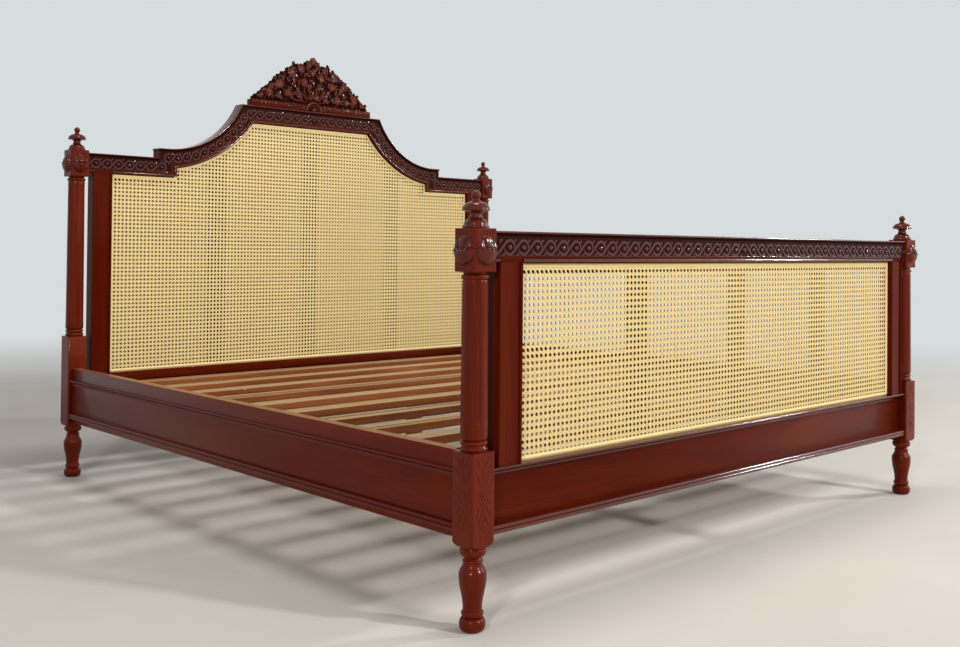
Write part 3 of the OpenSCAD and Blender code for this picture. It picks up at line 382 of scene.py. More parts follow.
polished_mahogany = mahogany("mahogany_polished", "Z", (0.05, 0.0038, 0.0005), (0.085, 0.0062, 0.0008),
                             (0.13, 0.014, 0.0014), coat=0.55, coat_roughness=0.08, under_gloss=0.1)
finial_profile = (
    [(28.6, 0), (29.4, 1.2), (29.5, 3.2), (28.8, 4.8), (27.6, 5.6)]
    + [(12.6 + 14.4 * cosd(i * 10), 6.4 + 14 * sind(i * 10)) for i in range(10)] + bead(20.8, 26.4, 12.4, 2.2)
    + [(12, 27.6), (12, 31), (13.2, 33.4), (16, 35.2), (20, 36.4), (25, 37.2), (29.4, 37.7), (30.7, 38.3),
       (31, 39), (30.7, 39.8)]
    + [(9.4 + 21 * cosd(i * 10) ** 0.9, 40 + 17 * sind(i * 10) ** 1.15) for i in range(1, 9)]
    + [(10.4, 57.6), (10.2, 59.6), (8.6, 60.4), (7.2, 61.6), (7.2, 63)]
    + [(10.2 * cosd(-44 + i * 12.6), 71.6 + 10.3 * sind(-44 + i * 12.6)) for i in range(11)] + [(0.8, 81.9)])
for side_word, side in sides:
    for end_word, end, block in (("foot", -1, foot_post[1]), ("head", 1, head_post[1])):
        points, faces = turned(finial_profile)
        foot = (side * axis_x, end * axis_y, block + top_block_h)
        finished(f"finial_{end_word}_{side_word}", (points + foot, faces),
                 polished_mahogany, (f"finial_{end_word}_{side_word}",), sharp=50)


# Carved buds on the outer, front and back faces of each top block, cut from the same wood:
# a smooth bowl below, a scalloped rim across the middle and five petals above it.
def bud():
    """One bud on the XY plane, 60 wide and 66 tall, standing out along Z; with the darkening of its hollows,
    partly stain and partly painted shade.
    """
    rings, stain_and_shade = [], []
    angle = np.arange(96) * 2 * math.pi / 96
    reach = [1.0, 1.0, 0.992, 0.98, 0.962, 0.94, 0.91, 0.875, 0.835, 0.79, 0.745, 0.7, 0.65, 0.6, 0.55, 0.5,
             0.45, 0.4, 0.35, 0.3, 0.25, 0.2, 0.15, 0.1, 0.05, 0.01]
    for rho in reach:
        u, v = rho * np.cos(angle), rho * np.sin(angle)
        full = math.sqrt(max(0.0, 1 - rho ** 2))
        rim = 0.04 + 0.075 * np.cos(u * 14.5)
        over = v - rim
        fan = np.arctan2(v + 0.62, u) - math.pi / 2
        lobes = np.abs(np.cos(4.8 * fan))
        petals = full ** 0.8 * (8.2 + 3.6 * lobes ** 0.7) * (1.1 - 0.3 * np.clip(v, 0, 1))
        bowl = 15.8 * full ** 0.9
        flare = 1 + 0.07 * (lobes - 0.5) * np.clip(over * 4, 0, 1) - 0.05 * np.clip(-over, 0, 1)
        blend = 1 / (1 + np.exp(-np.clip(over / 0.03, -30, 30)))
        lip = 2.4 * np.exp(-((over + 0.035) / 0.05) ** 2) - 1.8 * np.exp(-((over - 0.085) / 0.05) ** 2)
        height = bowl * (1 - blend) + petals * blend + lip * full ** 0.7
        foot = min(1.0, (1 - rho) / 0.11 + 0.02) ** 0.6
        rings.append(np.stack([29.5 * u * flare, 33 * v * flare, np.minimum(height, 15.8) * foot], axis=1))
        # Darker in the groove over the rim and between the petals: painted shade, with some stain
        between_petals = (over > 0.05) * 0.6 * (1 - lobes) ** 3
        stain_and_shade.append(np.clip(0.7 * np.exp(-((over - 0.085) / 0.05) ** 2) + between_petals, 0, 0.8))
    rings[0][:, 2] = -0.6
    return skin(rings), np.concatenate(stain_and_shade)


def stood(shape, origin, along, out):
    """A shape moved so that its X axis runs along one direction and its Z axis out along another."""
    points, faces = shape
    x_axis, z_axis = np.array(along, float), np.array(out, float)
    y_axis = np.cross(z_axis, x_axis)
    return np.asarray(points) @ np.array([x_axis, y_axis, z_axis]) + np.array(origin, float), faces


bud_shape, bud_stain_and_shade = bud()
bud_rise = 45.5
for side_word, side in sides:
    for end_word, end, block in (("foot", -1, foot_post[1]), ("head", 1, head_post[1])):
        x, y, z = side * axis_x, end * axis_y, block + bud_rise
        places = [((side * (axis_x + half_block), y, z), (0, side, 0), (side, 0, 0))]
        for face in (-1, 1):
            places.append(((x, y + face * half_block, z), (-face, 0, 0), (0, face, 0)))
        finished(f"bosses_{end_word}_{side_word}", gather([stood(bud_shape, *p) for p in places]),
                 polished_mahogany, (f"bosses_{end_word}_{side_word}",), sharp=60,
                 stain_and_shade=np.tile(bud_stain_and_shade, 3))


# Low relief on the lower blocks of the foot posts, cut into the wood's own face: a small flower at
# mid-height with a spray of leaves over it and stems below.
leaf_rows = np.array([-1, -0.62, -0.26, 0, 0.26, 0.62, 1])
leaf_rise = np.array([0.2, 0.74, 1.0, 0.7, 1.0, 0.74, 0.2])
# Darker at the leaf's edges, its midrib and its underside where it meets the ground: painted shade, with some
# stain
leaf_stain_and_shade = np.array([0.8, 0.15, 0.0, 0.75, 0.0, 0.15, 0.8, 1.0, 1.0])


def leaf(length, width, thick, curl=0.0, lobes=3, sink=1.0, bend=0.0, steps=12, belly=0.72):
    """A carved leaf along X on the XY plane: lobed edge, sunk midrib, tip lifted by curl, swung by bend."""
    rings = []
    for s in np.linspace(0, 1, steps):
        fullness = math.sin(math.pi * min(1, 0.04 + 0.96 * s) ** belly) ** (0.7 if belly < 1 else 0.5)
        half = 0.5 * width * (fullness * (0.84 + 0.24 * abs(math.sin(lobes * math.pi * s)))) + 0.15
        body = 0.35 + 0.65 * math.sin(math.pi * (0.06 + 0.9 * s)) ** 0.6
        x, lean, lift = length * s, bend * s * s, curl * s * s
        top = [(x, lean + half * t, lift + thick * rise * body) for t, rise in zip(leaf_rows, leaf_rise)]
        under = [(x, lean + 0.9 * half, lift - sink), (x, lean - 0.9 * half, lift - sink)]
        rings.append(np.array(top + under))
    return skin(rings), np.tile(leaf_stain_and_shade, steps)


def dome(radius, height, segments=20):
    """A round swelling on the XY plane, sunk a little below it."""
    shape = turned([(radius, -0.8), (radius, 0.0)] + [(radius * cosd(a), height * sind(a))
                                                      for a in (15, 30, 45, 60, 75, 88)], segments)
    # Darker towards its foot, as painted shade where it meets the ground
    return shape, np.repeat([1.0, 0.9, 0.4, 0.1, 0, 0, 0, 0], segments)


def turned_flat(shape, degrees, x=0.0, y=0.0, z=0.0):
    """A shape turned on the XY plane and moved."""
    a = math.radians(degrees)
    turn = np.array([[math.cos(a), math.sin(a), 0], [-math.sin(a), math.cos(a), 0], [0, 0, 1]])
    return np.asarray(shape[0]) @ turn + (x, y, z), shape[1]


def gather_shaded(parts):
    """Several shapes with their darkening of hollows as one."""
    return gather([shape for shape, _ in parts]), np.concatenate([shade for _, shade in parts])


def blossom(radius, petals, thick, tilt=0.0):
    """A flower on the XY plane: two rings of broad petals round a domed middle."""
    parts = []
    for long, broad, rise, curl, steps, belly, start, z in (
            (0.98, 5.8, 0.62, 0.3, 8, 1.7, 0.0, 0.0), (0.62, 3.6, 0.5, 0.25, 7, 1.5, 0.5, thick * 0.3)):
        for i in range(petals):
            petal, shade = leaf(radius * long, radius * broad / petals, thick * rise, thick * curl, lobes=0,
                                steps=steps, belly=belly)
            parts.append((turned_flat(petal, tilt + (i + start) * 360 / petals, z=z), shade))
    middle, shade = dome(radius * 0.24, thick * 0.55, 16)
    parts.append((turned_flat(middle, 0, z=thick * 0.45), shade))
    return gather_shaded(parts)


flower, flower_stain_and_shade = blossom(12, 6, 1.7)
relief = [(turned_flat(flower, 0, y=2), flower_stain_and_shade)]
for x, y, angle, length, width in (
        (0, 18, 90, 46, 15), (-3, 22, 122, 32, 11), (3, 22, 58, 32, 11), (-8, 42, 140, 24, 9),
        (8, 42, 40, 24, 9), (-5, 58, 118, 26, 9), (5, 58, 62, 26, 9), (0, 62, 90, 24, 9),
        (0, -12, 270, 44, 9), (-4, -14, 238, 34, 10), (4, -14, 302, 34, 10), (-4, -38, 246, 30, 9),
        (4, -38, 294, 30, 9), (0, -52, 270, 26, 9), (-9, 8, 160, 15, 8), (9, 8, 20, 15, 8),
        (-9, -6, 200, 15, 8), (9, -6, 340, 15, 8)):
    spray, shade = leaf(length, width, 1.1, 0.0, lobes=3, sink=0.6, steps=9)
    relief.append((turned_flat(spray, angle, x, y), shade))
relief_shape, relief_stain_and_shade = gather_shaded(relief)
relief_z = 292.0
for side_word, side in sides:
    places = [((side * (axis_x + half_block), -axis_y, relief_z), (0, side, 0), (side, 0, 0)),
              ((side * axis_x, -axis_y - half_block, relief_z), (1, 0, 0), (0, -1, 0))]
    finished(f"post_relief_{side_word}", gather([stood(relief_shape, *p) for p in places]),
             upright_mahogany, sharp=60, stain_and_shade=np.tile(relief_stain_and_shade * 0.12, 2))


# The footboard's top rail and bottom rail are planed boards, tenoned into the posts. The headboard's
# bottom rail and the crest's plinth are worked the same way. Three muntins stand on each bottom rail.
foot_sill, foot_lintel = 345.0, 789.0
head_sill, head_spring, crown_x = 358.0, 1080.0, 626.0
cross_mahogany = mahogany("mahogany_cross_grain", "X", (0.05, 0.004, 0.0005), (0.08, 0.0062, 0.0006),
                          (0.118, 0.0135, 0.0012), coat=0.09, under_gloss=0.06)


def eased(node, width, material, shortest=16.0, suffix="_board", cut=None, above=False):
    """A sanded copy of a CAD board, or of what is under or above a cut, its long edges rounded over."""
    board = bmesh.new()
    board.from_mesh(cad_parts[node].data)
    bmesh.ops.remove_doubles(board, verts=board.verts, dist=1e-6)
    if cut:
        bmesh.ops.bisect_plane(board, geom=board.verts[:] + board.edges[:] + board.faces[:], dist=1e-6,
                               plane_co=(0, 0, cut * 0.001), plane_no=(0, 0, 1), clear_outer=not above,
                               clear_inner=above)
        bmesh.ops.holes_fill(board, edges=[e for e in board.edges if e.is_boundary])
    bmesh.ops.dissolve_limit(board, angle_limit=math.radians(1), verts=board.verts, edges=board.edges)
    sharp = [e for e in board.edges if len(e.link_faces) == 2 and e.calc_length() > shortest * 0.001
             and e.calc_face_angle(0) > math.radians(50)]
    bmesh.ops.bevel(board, geom=sharp, offset=width * 0.001, segments=2, profile=0.5, affect="EDGES",
                    clamp_overlap=True)
    mesh = bpy.data.meshes.new(node)
    board.to_mesh(mesh)
    board.free()
    return dressed(node + suffix, mesh, material, (node,), sharp=30)


for node in ("foot_top_rail", "crest_plinth"):
    eased(node, 1.2, cross_mahogany)
# The muntins behind the cane are near black: painted shade
shaded_muntin_mahogany = mahogany("mahogany_muntins_painted_shade", "Z", (0.012, 0.0012, 0.0003), (0.02, 0.0018, 0.0005),
                           (0.032, 0.0036, 0.0009), coat=0.0, under_gloss=0.05)
for node, rail_top in (("foot_bottom_rail", foot_sill), ("head_bottom_rail", head_sill)):
    eased(node, 1.2, cross_mahogany, cut=rail_top)
    eased(node, 1.0, shaded_muntin_mahogany, suffix="_muntins", cut=rail_top + 0.1, above=True)


# The mouldings run along the footboard's rails: a cap with rounded noses, a thin bead under the
# carved band, a cove at the bottom rail's top edge and a double bead near its foot.
def swept(profile, path, out=(0, -1, 0), looped=False):
    """A cross-section carried along a path with mitred corners. Its first axis points out of the face."""
    path, out = np.asarray(path, float), np.asarray(out, float)
    steps = np.diff(np.vstack([path, path[:1]]) if looped else path, axis=0)
    steps /= np.linalg.norm(steps, axis=1)[:, None]
    before = np.vstack([steps[-1:], steps[:-1]]) if looped else np.vstack([steps[:1], steps])
    after = steps if looped else np.vstack([steps, steps[-1:]])
    mean = before + after
    mean /= np.linalg.norm(mean, axis=1)[:, None]
    rings = []
    for point, way, one in zip(path, mean, after):
        side = np.cross(out, way)
        side /= max(0.2, float(np.dot(side, np.cross(out, one))))
        rings.append(np.array([point + a * out + b * side for a, b in profile]))
    return skin(rings, looped)


def arc(cx, cy, r, start, stop, n):
    """Points on an arc, in degrees."""
    return [(cx + r * cosd(start + (stop - start) * i / n),
             cy + r * sind(start + (stop - start) * i / n)) for i in range(n + 1)]


# Cap: 58 wide, 11 thick, a full round nose on both edges over a small quirk
moulding_mahogany = mahogany("mahogany_mouldings", "X", (0.04, 0.003, 0.0004), (0.07, 0.005, 0.0005),
                             (0.11, 0.0105, 0.001), coat=0.8, coat_roughness=0.1, under_gloss=0.1)
quirk = [(22.3, -5.4), (22.6, -3.6), (23.6, -1.6), (25.2, -0.2), (26.6, 0.4)]
# The quirk under each nose is darkened as painted shadow of the cap
quirk_shadow = [0.95, 0.95, 0.95, 0.9, 0.7]
cap_profile = (quirk + arc(26.4, 2.9, 2.5, -80, 90, 8) + arc(-26.4, 2.9, 2.5, 90, 260, 8)
               + [(-x, z) for x, z in quirk[::-1]])
cap_shadow = np.array(quirk_shadow + [0.0] * 18 + quirk_shadow[::-1])
bead_profile = [(0, -4)] + arc(0, 0, 4, -80, 80, 9) + [(0, 4)]
inner_x, stile_outer, opening_x = 962.0, 944.0, 872.0
front_y, rail_front_y, cap_z, bead_z = -1064.5, -1048.5, 851.5, foot_lintel + 4
finished("foot_cap", swept(cap_profile, [(-inner_x, -axis_y, cap_z), (inner_x, -axis_y, cap_z)]),
         moulding_mahogany, ("foot_cap_moulding",), stain_and_shade=np.tile(cap_shadow, 2))
bead_ends = (-inner_x, -stile_outer), (-opening_x, opening_x), (stile_outer, inner_x)
finished("foot_bead", gather([swept(bead_profile, [(a, front_y, bead_z), (b, front_y, bead_z)])
                              for a, b in bead_ends]),
         moulding_mahogany, ("foot_bead_moulding",))


def cove_profile(out):
    """Cove under a round lip, out from the board; its top edge at 0, 18 tall."""
    hollow = [(out + 1 - (out - 1) * cosd(a), -18 + 12 * sind(a)) for a in range(0, 91, 9)]
    return [(0, -18)] + hollow[:-1] + arc(out - 3, -3, 3, -80, 90, 8) + [(0, 0)]


def double_bead_profile(out):
    """Two half-rounds, one over the other; lower edge at 0, 18 tall."""
    return [(0, 0)] + arc(out - 4.5, 4.5, 4.5, -90, 78, 8) + arc(out - 4.5, 13.5, 4.5, -78, 90, 8) + [(0, 18)]


finished("foot_rail_trim", gather([
    swept(profile(22), [(-inner_x, rail_front_y, z), (inner_x, rail_front_y, z)])
    for profile, z in ((cove_profile, foot_sill), (double_bead_profile, 203.0))]),
    moulding_mahogany, ("foot_rail_mouldings",))


# The stiles stand between the rails on both sides of each cane panel. A thin bead runs down both
# front edges of each.
def stile(name, side, y, z0, z1):
    inner, outer, front, back = side * opening_x, side * stile_outer, y - 22, y + 22
    low, high = min(inner, outer), max(inner, outer)
    outline = ([(low, back - 1), (low + 1, back), (high - 1, back), (high, back - 1), (high, front)]
               + arc(high - 4, front, 4, -8, -172, 8) + [(high - 8, front + 1.2), (low + 8, front + 1.2)]
               + arc(low + 4, front, 4, -8, -172, 8) + [(low, front)])
    return finished(name + "_upright", skin([[(x, v, z) for x, v in outline] for z in (z0, z1)]),
                    stile_mahogany, (name,), sharp=32)


stile_mahogany = mahogany("mahogany_stiles", "Z", (0.048, 0.0034, 0.0003), (0.076, 0.005, 0.0004),
                          (0.11, 0.0105, 0.0008), coat=0.09, under_gloss=0.06)
for side_word, side in sides:
    stile(f"foot_stile_{side_word}", side, -axis_y, foot_sill, foot_lintel)
    stile(f"head_stile_{side_word}", side, axis_y, head_sill, head_spring)


# The headboard's swept rail is five lengths of mahogany jointed end to end, which keep their CAD
# shapes. The cap and the inner bead follow its outline, mitred at the top corners.
step_x, sweep_x, sweep_r = 693.0, 655.0, 344.0
inner_sweep_x, inner_sweep_r = 691.0, 500.0
outer_centre, inner_centre, arch_top, arch_low = 1528.0, 1610.0, 1383.0, 1315.0
head_front, head_bead_z, shoulder_cap_z = 1020.5, head_spring + 4, 1142.5
for node in ("head_shoulder_rail_left", "head_shoulder_rail_right", "head_sweep_rail_left",
             "head_sweep_rail_right", "head_top_rail"):
    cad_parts[node].data.materials.clear()
    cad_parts[node].data.materials.append(cross_mahogany)


def sweep_line(cx, cz, r, from_x, to_z, n=34):
    """Left sweep as (x, z) points, from its foot at one x up to a height."""
    start = math.asin((from_x + cx) / r)
    stop = math.acos((cz - to_z) / r)
    angles = [start + (stop - start) * i / n for i in range(n + 1)]
    return [(-cx + r * math.sin(a), cz - r * math.cos(a)) for a in angles]


def both_sides(left):
    """A left half of (x, z) points joined to its mirror image."""
    return left + [(-x, z) for x, z in left[::-1]]


cap_line = both_sides([(-step_x, 1178.5)] + sweep_line(sweep_x, outer_centre, sweep_r + 5.5, -sweep_x,
                                                       arch_top - 5.5))
cap_runs = [[(-inner_x, shoulder_cap_z), (-step_x, shoulder_cap_z)], cap_line,
            [(step_x, shoulder_cap_z), (inner_x, shoulder_cap_z)]]
finished("head_cap", gather([swept(cap_profile, [(x, axis_y, z) for x, z in run]) for run in cap_runs]),
         moulding_mahogany, ("head_cap_moulding",),
         stain_and_shade=np.tile(cap_shadow, sum(len(run) for run in cap_runs)))
bead_line = both_sides([(-opening_x, head_bead_z), (4 - crown_x, head_bead_z)]
                       + sweep_line(inner_sweep_x, inner_centre, inner_sweep_r - 4, 4 - crown_x,
                                    arch_low + 4))
bead_runs = [[(-inner_x, head_bead_z), (-stile_outer, head_bead_z)], bead_line,
             [(stile_outer, head_bead_z), (inner_x, head_bead_z)]]
finished("head_bead", gather([swept(bead_profile, [(x, head_front, z) for x, z in run])
                              for run in bead_runs]),
         moulding_mahogany, ("head_bead_moulding",))


# The carved bands: a sunk ground between two fillets, with a button in each scroll and a ribbon
# that runs under one button and over the next, mirrored at the bed's middle. All cut from the rail.
carved_mahogany = mahogany("carved_mahogany", "X", (0.034, 0.003, 0.0008), (0.06, 0.0055, 0.0013),
                           (0.1, 0.0125, 0.0028), coat=1.0, coat_roughness=0.1, under_gloss=0.1)
scroll_r, button_r, button_h, sweep_band_r, sweep_pitch = 15.3, 6.2, 5.4, 379.5, 38.5
foot_scrolls = [(i * 43.6, foot_lintel + 32.5) for i in range(-22, 1)]
shoulder_scrolls = [(-935 + i * 42.3, 1112.5) for i in range(-1, 7)]
sweep_scrolls = [(-sweep_x + sweep_band_r * math.sin(i * sweep_pitch / sweep_band_r),
                  outer_centre - sweep_band_r * math.cos(i * sweep_pitch / sweep_band_r)) for i in range(11)]
top_scrolls = [(i * 43.6, 1347.5) for i in range(-7, 1)]


def ribbon_paths(centres):
    """Centre-lines, swells and buttons of one half of a band, on the face's own plane."""
    lines, buttons = [], [(x, z, 1.0) for x, z in centres]
    for number, (start, stop) in enumerate(zip(centres, centres[1:])):
        a, b = np.array(start), np.array(stop)
        pitch = float(np.linalg.norm(b - a))
        ahead = (b - a) / pitch
        over = np.array([-ahead[1], ahead[0]])
        radius = min(scroll_r, pitch * 0.4)
        leave = math.degrees(math.acos(2 * radius / pitch))
        end_angle = 92 if number == len(centres) - 2 else -12
        points = [(radius * cosd(t), radius * sind(t)) for t in np.linspace(190, 360 - leave, 11)]
        points += [(pitch + radius * cosd(t), radius * sind(t))
                   for t in np.linspace(180 - leave, end_angle, 12)]
        share = np.linspace(0, 1, len(points))
        swells = np.clip(0.25 + share * 5, 0, 1) * np.clip(0.3 + (1 - share) * 5, 0, 1)
        lines.append([(a + x * ahead + z * over, s) for (x, z), s in zip(points, swells)])
        for flip in (1, -1):
            dart = [(pitch / 2 + flip * x, flip * z)
                    for x, z in ((0.5, -17), (3.5, -16), (7, -13), (9.5, -9.5))]
            lines.append([(a + x * ahead + z * over, w) for (x, z), w in zip(dart, (0.15, 0.8, 0.7, 0.1))])
    return lines, buttons


def new_group(name, inputs):
    """An empty geometry node group: the sockets of its inputs by name, and its output."""
    group = bpy.data.node_groups.new(name, "GeometryNodeTree")
    for label, kind in {"Geometry": "NodeSocketGeometry", **inputs}.items():
        group.interface.new_socket(label, in_out="INPUT", socket_type=kind)
    group.interface.new_socket("Geometry", in_out="OUTPUT", socket_type="NodeSocketGeometry")
    return group, group.nodes.new("NodeGroupInput").outputs, group.nodes.new("NodeGroupOutput")


def attribute(group, name, kind):
    """Socket of a named attribute."""
    return add(group, "GeometryNodeInputNamedAttribute", {"Name": name}, data_type=kind).outputs["Attribute"]


def closed_curves(name, outlines):
    """An object of flat closed curves through points in millimetres."""
    curve = bpy.data.curves.new(name, "CURVE")
    curve.dimensions = "2D"
    for outline in outlines:
        spline = curve.splines.new("POLY")
        spline.points.add(len(outline) - 1)
        for point, (x, y) in zip(spline.points, outline):
            point.co = (x * 0.001, y * 0.001, 0, 1)
        spline.use_cyclic_u = True
    holder = bpy.data.objects.new(name, curve)
    collection.objects.link(holder)
    return holder


def plain_mesh(holder, name):
    """The mesh that an object comes to, in place of the object."""
    bpy.context.view_layer.update()
    mesh = bpy.data.meshes.new_from_object(holder.evaluated_get(bpy.context.evaluated_depsgraph_get()))
    mesh.name = name
    bpy.data.objects.remove(holder)
    return mesh


def carried(group, drawn, section, inputs):
    """Socket of a section carried along the edges of a flat drawing."""
    lines = add(group, "GeometryNodeMeshToCurve", {"Mesh": drawn})
    upright = add(group, "GeometryNodeSetCurveNormal", {"Curve": lines.outputs["Curve"]}, mode="Z_UP")
    outline = add(group, "GeometryNodeObjectInfo", {"Object": section})
    return add(group, "GeometryNodeCurveToMesh", {
        "Curve": upright.outputs["Curve"], "Profile Curve": outline.outputs["Geometry"], "Fill Caps": True,
        **inputs}).outputs["Mesh"]


def stood_up(group, flat, face, material, end):
    """Ends a tree: its flat work stood up on the plane Y = face, made real and given its material."""
    offset = add(group, "ShaderNodeCombineXYZ", {"Y": face})
    stand = add(group, "GeometryNodeTransform", {
        "Geometry": flat, "Translation": offset.outputs["Vector"], "Rotation": (math.radians(90), 0, 0)})
    real = add(group, "GeometryNodeRealizeInstances", {"Geometry": stand.outputs["Geometry"]})
    finish = add(group, "GeometryNodeSetMaterial", {
        "Geometry": real.outputs["Geometry"], "Material": material})
    feed(group, end, {"Geometry": finish.outputs["Geometry"]})


def carving_group():
    """Buttons on the loose points and ribbons along the edges of a flat drawing, stood up on a face."""
    group, start, end = new_group("carved_band", {
        "Ribbon section": "NodeSocketObject", "Button radius": "NodeSocketFloat",
        "Button height": "NodeSocketFloat", "Face": "NodeSocketFloat", "Wood": "NodeSocketMaterial"})
    size = attribute(group, "swell", "FLOAT")
    split = add(group, "GeometryNodeSeparateGeometry", {
        "Geometry": start["Geometry"], "Selection": attribute(group, "is_button", "BOOLEAN")}, domain="POINT")
    ball = add(group, "GeometryNodeMeshUVSphere", {"Segments": 18, "Rings": 10, "Radius": 1.0})
    flattening = add(group, "ShaderNodeCombineXYZ", {"X": start["Button radius"], "Y": start["Button radius"],
                                                     "Z": start["Button height"]})
    button = add(group, "GeometryNodeTransform", {
        "Geometry": ball.outputs["Mesh"], "Scale": flattening.outputs["Vector"]})
    buttons = add(group, "GeometryNodeInstanceOnPoints", {
        "Points": split.outputs["Selection"], "Instance": button.outputs["Geometry"], "Scale": size})
    ribbons = carried(group, split.outputs["Inverted"], start["Ribbon section"], {"Scale": size})
    joined = add(group, "GeometryNodeJoinGeometry", {"Geometry": buttons.outputs["Instances"]})
    feed(group, joined, {"Geometry": ribbons})
    stood_up(group, joined.outputs["Geometry"], start["Face"], start["Wood"], end)
    return group


def baked(name, mesh, group, values):
    """The plain mesh that a tree makes of a drawing."""
    holder = bpy.data.objects.new(name + "_drawing", mesh)
    collection.objects.link(holder)
    modifier = holder.modifiers.new("make", "NODES")
    modifier.node_group = group
    for item in group.interface.items_tree:
        if item.item_type == "SOCKET" and item.name in values:
            modifier[item.identifier] = values[item.name]
    return plain_mesh(holder, name)


def drawing(name, lines, spots):
    """A flat mesh of polylines and loose points with the attributes that the carving tree reads."""
    points, edges, swells, buttons = [], [], [], []
    for line in lines:
        first = len(points)
        points += [(p[0] * 0.001, p[1] * 0.001, 0) for p, _ in line]
        swells += [s for _, s in line]
        buttons += [False] * len(line)
        edges += [(first + i, first + i + 1) for i in range(len(line) - 1)]
    for x, z, size in spots:
        points.append((x * 0.001, z * 0.001, 0))
        swells.append(size)
        buttons.append(True)
    mesh = bpy.data.meshes.new(name)
    mesh.from_pydata(points, edges, [])
    mesh.attributes.new("swell", "FLOAT", "POINT").data.foreach_set("value", swells)
    mesh.attributes.new("is_button", "BOOLEAN", "POINT").data.foreach_set("value", buttons)
    return mesh


def mirrored_band(chain):
    """Both halves of a band: its left chain of scrolls and the mirror image."""
    lines, spots = ribbon_paths(chain)
    lines += [[(np.array((-p[0], p[1])), s) for p, s in line] for line in lines]
    spots += [(-x, z, s) for x, z, s in spots if abs(x) > 1]
    return lines, spots


ribbon_section = closed_curves("ribbon_section", [
    [(-3.0, -1.5), (3.0, -1.5)] + [(3.0 * cosd(a), 0.4 + 3.5 * sind(a)) for a in range(0, 181, 18)]])
carving = carving_group()
ground_t, fillet_r = 1.0, 0.9
for name, face, chain, node in (
        ("foot_scrolls", front_y, foot_scrolls, "foot_scroll_band"),
        ("head_scrolls", head_front, shoulder_scrolls + sweep_scrolls + top_scrolls, "head_scroll_band")):
    mesh = baked(name, drawing(name, *mirrored_band(chain)), carving, {
        "Ribbon section": ribbon_section, "Button radius": button_r * 0.001,
        "Button height": button_h * 0.001, "Face": (face - ground_t) * 0.001, "Wood": carved_mahogany})
    dressed(name, mesh, carved_mahogany, (node,), sharp=40)
bpy.data.objects.remove(ribbon_section)

# Both grounds run up to the cap, so their near-black also stands for the cap's shadow: painted shadow
band_outer = both_sides([(-inner_x, 1136.4), (-688, 1136.4), (-688, 1172.4)]
                        + sweep_line(sweep_x, outer_centre, 355.6, -sweep_x, 1371.4))
band_inner = both_sides([(-inner_x, 1093), (-688, 1093), (-639, 1093)]
                        + sweep_line(inner_sweep_x, inner_centre, 487, -639, 1328))
foot_outer = [(-inner_x, 845.4), (inner_x, 845.4)]
foot_inner = [(-inner_x, 802), (inner_x, 802)]
fillet_profile = ([(-0.5, -fillet_r), (1.2, -fillet_r)] + arc(1.0, 0, fillet_r, -70, 70, 6)
                  + [(1.2, fillet_r), (-0.5, fillet_r)])


# The dull, almost black ground between carved forms: its near-black colour is painted shade for the recesses
painted_shade_ground, tree, shader, where = paint("painted_shade_ground")
punched = noise(tree, where, 340.0, 3.0)
feed(tree, shader, {
    "Base Color": ramp(tree, punched, (0.35, (0.014, 0.0028, 0.0016)), (0.75, (0.042, 0.007, 0.003))),
    "Roughness": 0.85, "Specular IOR Level": 0.08, "Normal": bumped(tree, punched, 0.5, 0.0006)})


def ground_plate(outer, inner, face):
    """Thin sunk ground between two outlines with as many points each."""
    back = face - ground_t
    return skin([[(a, face, b), (c, face, d), (c, back, d), (a, back, b)]
                 for (a, b), (c, d) in zip(outer, inner)])


for name, outer, inner, face in (("foot_band_ground", foot_outer, foot_inner, front_y),
                                 ("head_band_ground", band_outer, band_inner, head_front)):
    finished(name, ground_plate(outer, inner, face), painted_shade_ground)
    finished(name + "_fillet", swept(fillet_profile, [(x, face, z + fillet_r) for x, z in inner]),
             carved_mahogany)


# The crest: a pierced carving of leaves, stems and open flowers, cut from one board and set on its
# plinth. A half-round shell laps over the plinth's middle, and small leaves run along its foot.
crest_foot, crest_top, crest_face, plinth_face = 1411.0, 1614.7, 1037.0, 1026.0
crest_outline = [(288, 0), (287, 12), (262, 26), (238, 48), (204, 74), (178, 100), (150, 122), (116, 142),
                 (78, 158), (38, 170), (0, 184)]
crest_holes = [(-72, 120, 7), (13, 97, 6.5), (-101, 59, 6.5), (-92, 84, 5), (59, 76, 6.5), (69, 61, 6),
               (80, 47, 6.5), (168, 62, 7), (-150, 42, 6), (-196, 34, 6), (196, 30, 6), (-40, 54, 5),
               (128, 62, 5), (-238, 20, 5), (238, 18, 5), (-132, 104, 5), (136, 98, 5), (44, 142, 5),
               (-42, 146, 5)]


def flat_plate(name, outlines, thickness):
    """A flat plate with holes on the XZ plane, its front at 0 and its back at the thickness."""
    holder = closed_curves(name, outlines)
    holder.data.fill_mode = "BOTH"
    holder.data.extrude = thickness * 0.0005
    mesh = plain_mesh(holder, name)
    mesh.transform(Matrix.Translation((0, thickness * 0.0005, 0)) @ Matrix.Rotation(math.radians(90), 4, "X"))
    closed = bmesh.new()
    closed.from_mesh(mesh)
    bmesh.ops.remove_doubles(closed, verts=closed.verts, dist=1e-6)
    bmesh.ops.recalc_face_normals(closed, faces=closed.faces)
    closed.to_mesh(mesh)
    closed.free()
    return mesh


def stem(points, radius, rise=0.0):
    """A round tapering stalk through points on the XY plane."""
    line = np.array(points, float)
    steps = np.gradient(line, axis=0)
    steps /= np.linalg.norm(steps, axis=1)[:, None]
    angle = np.arange(8) * math.pi / 4
    rings = []
    for i, (at, way) in enumerate(zip(line, steps)):
        r = radius * (1 - 0.45 * i / (len(line) - 1))
        side = np.array([-way[1], way[0]])
        rings.append(np.array([(*(at + side * r * math.cos(a)), rise + r * math.sin(a)) for a in angle]))
    return skin(rings), np.full(8 * len(line), 0.1)


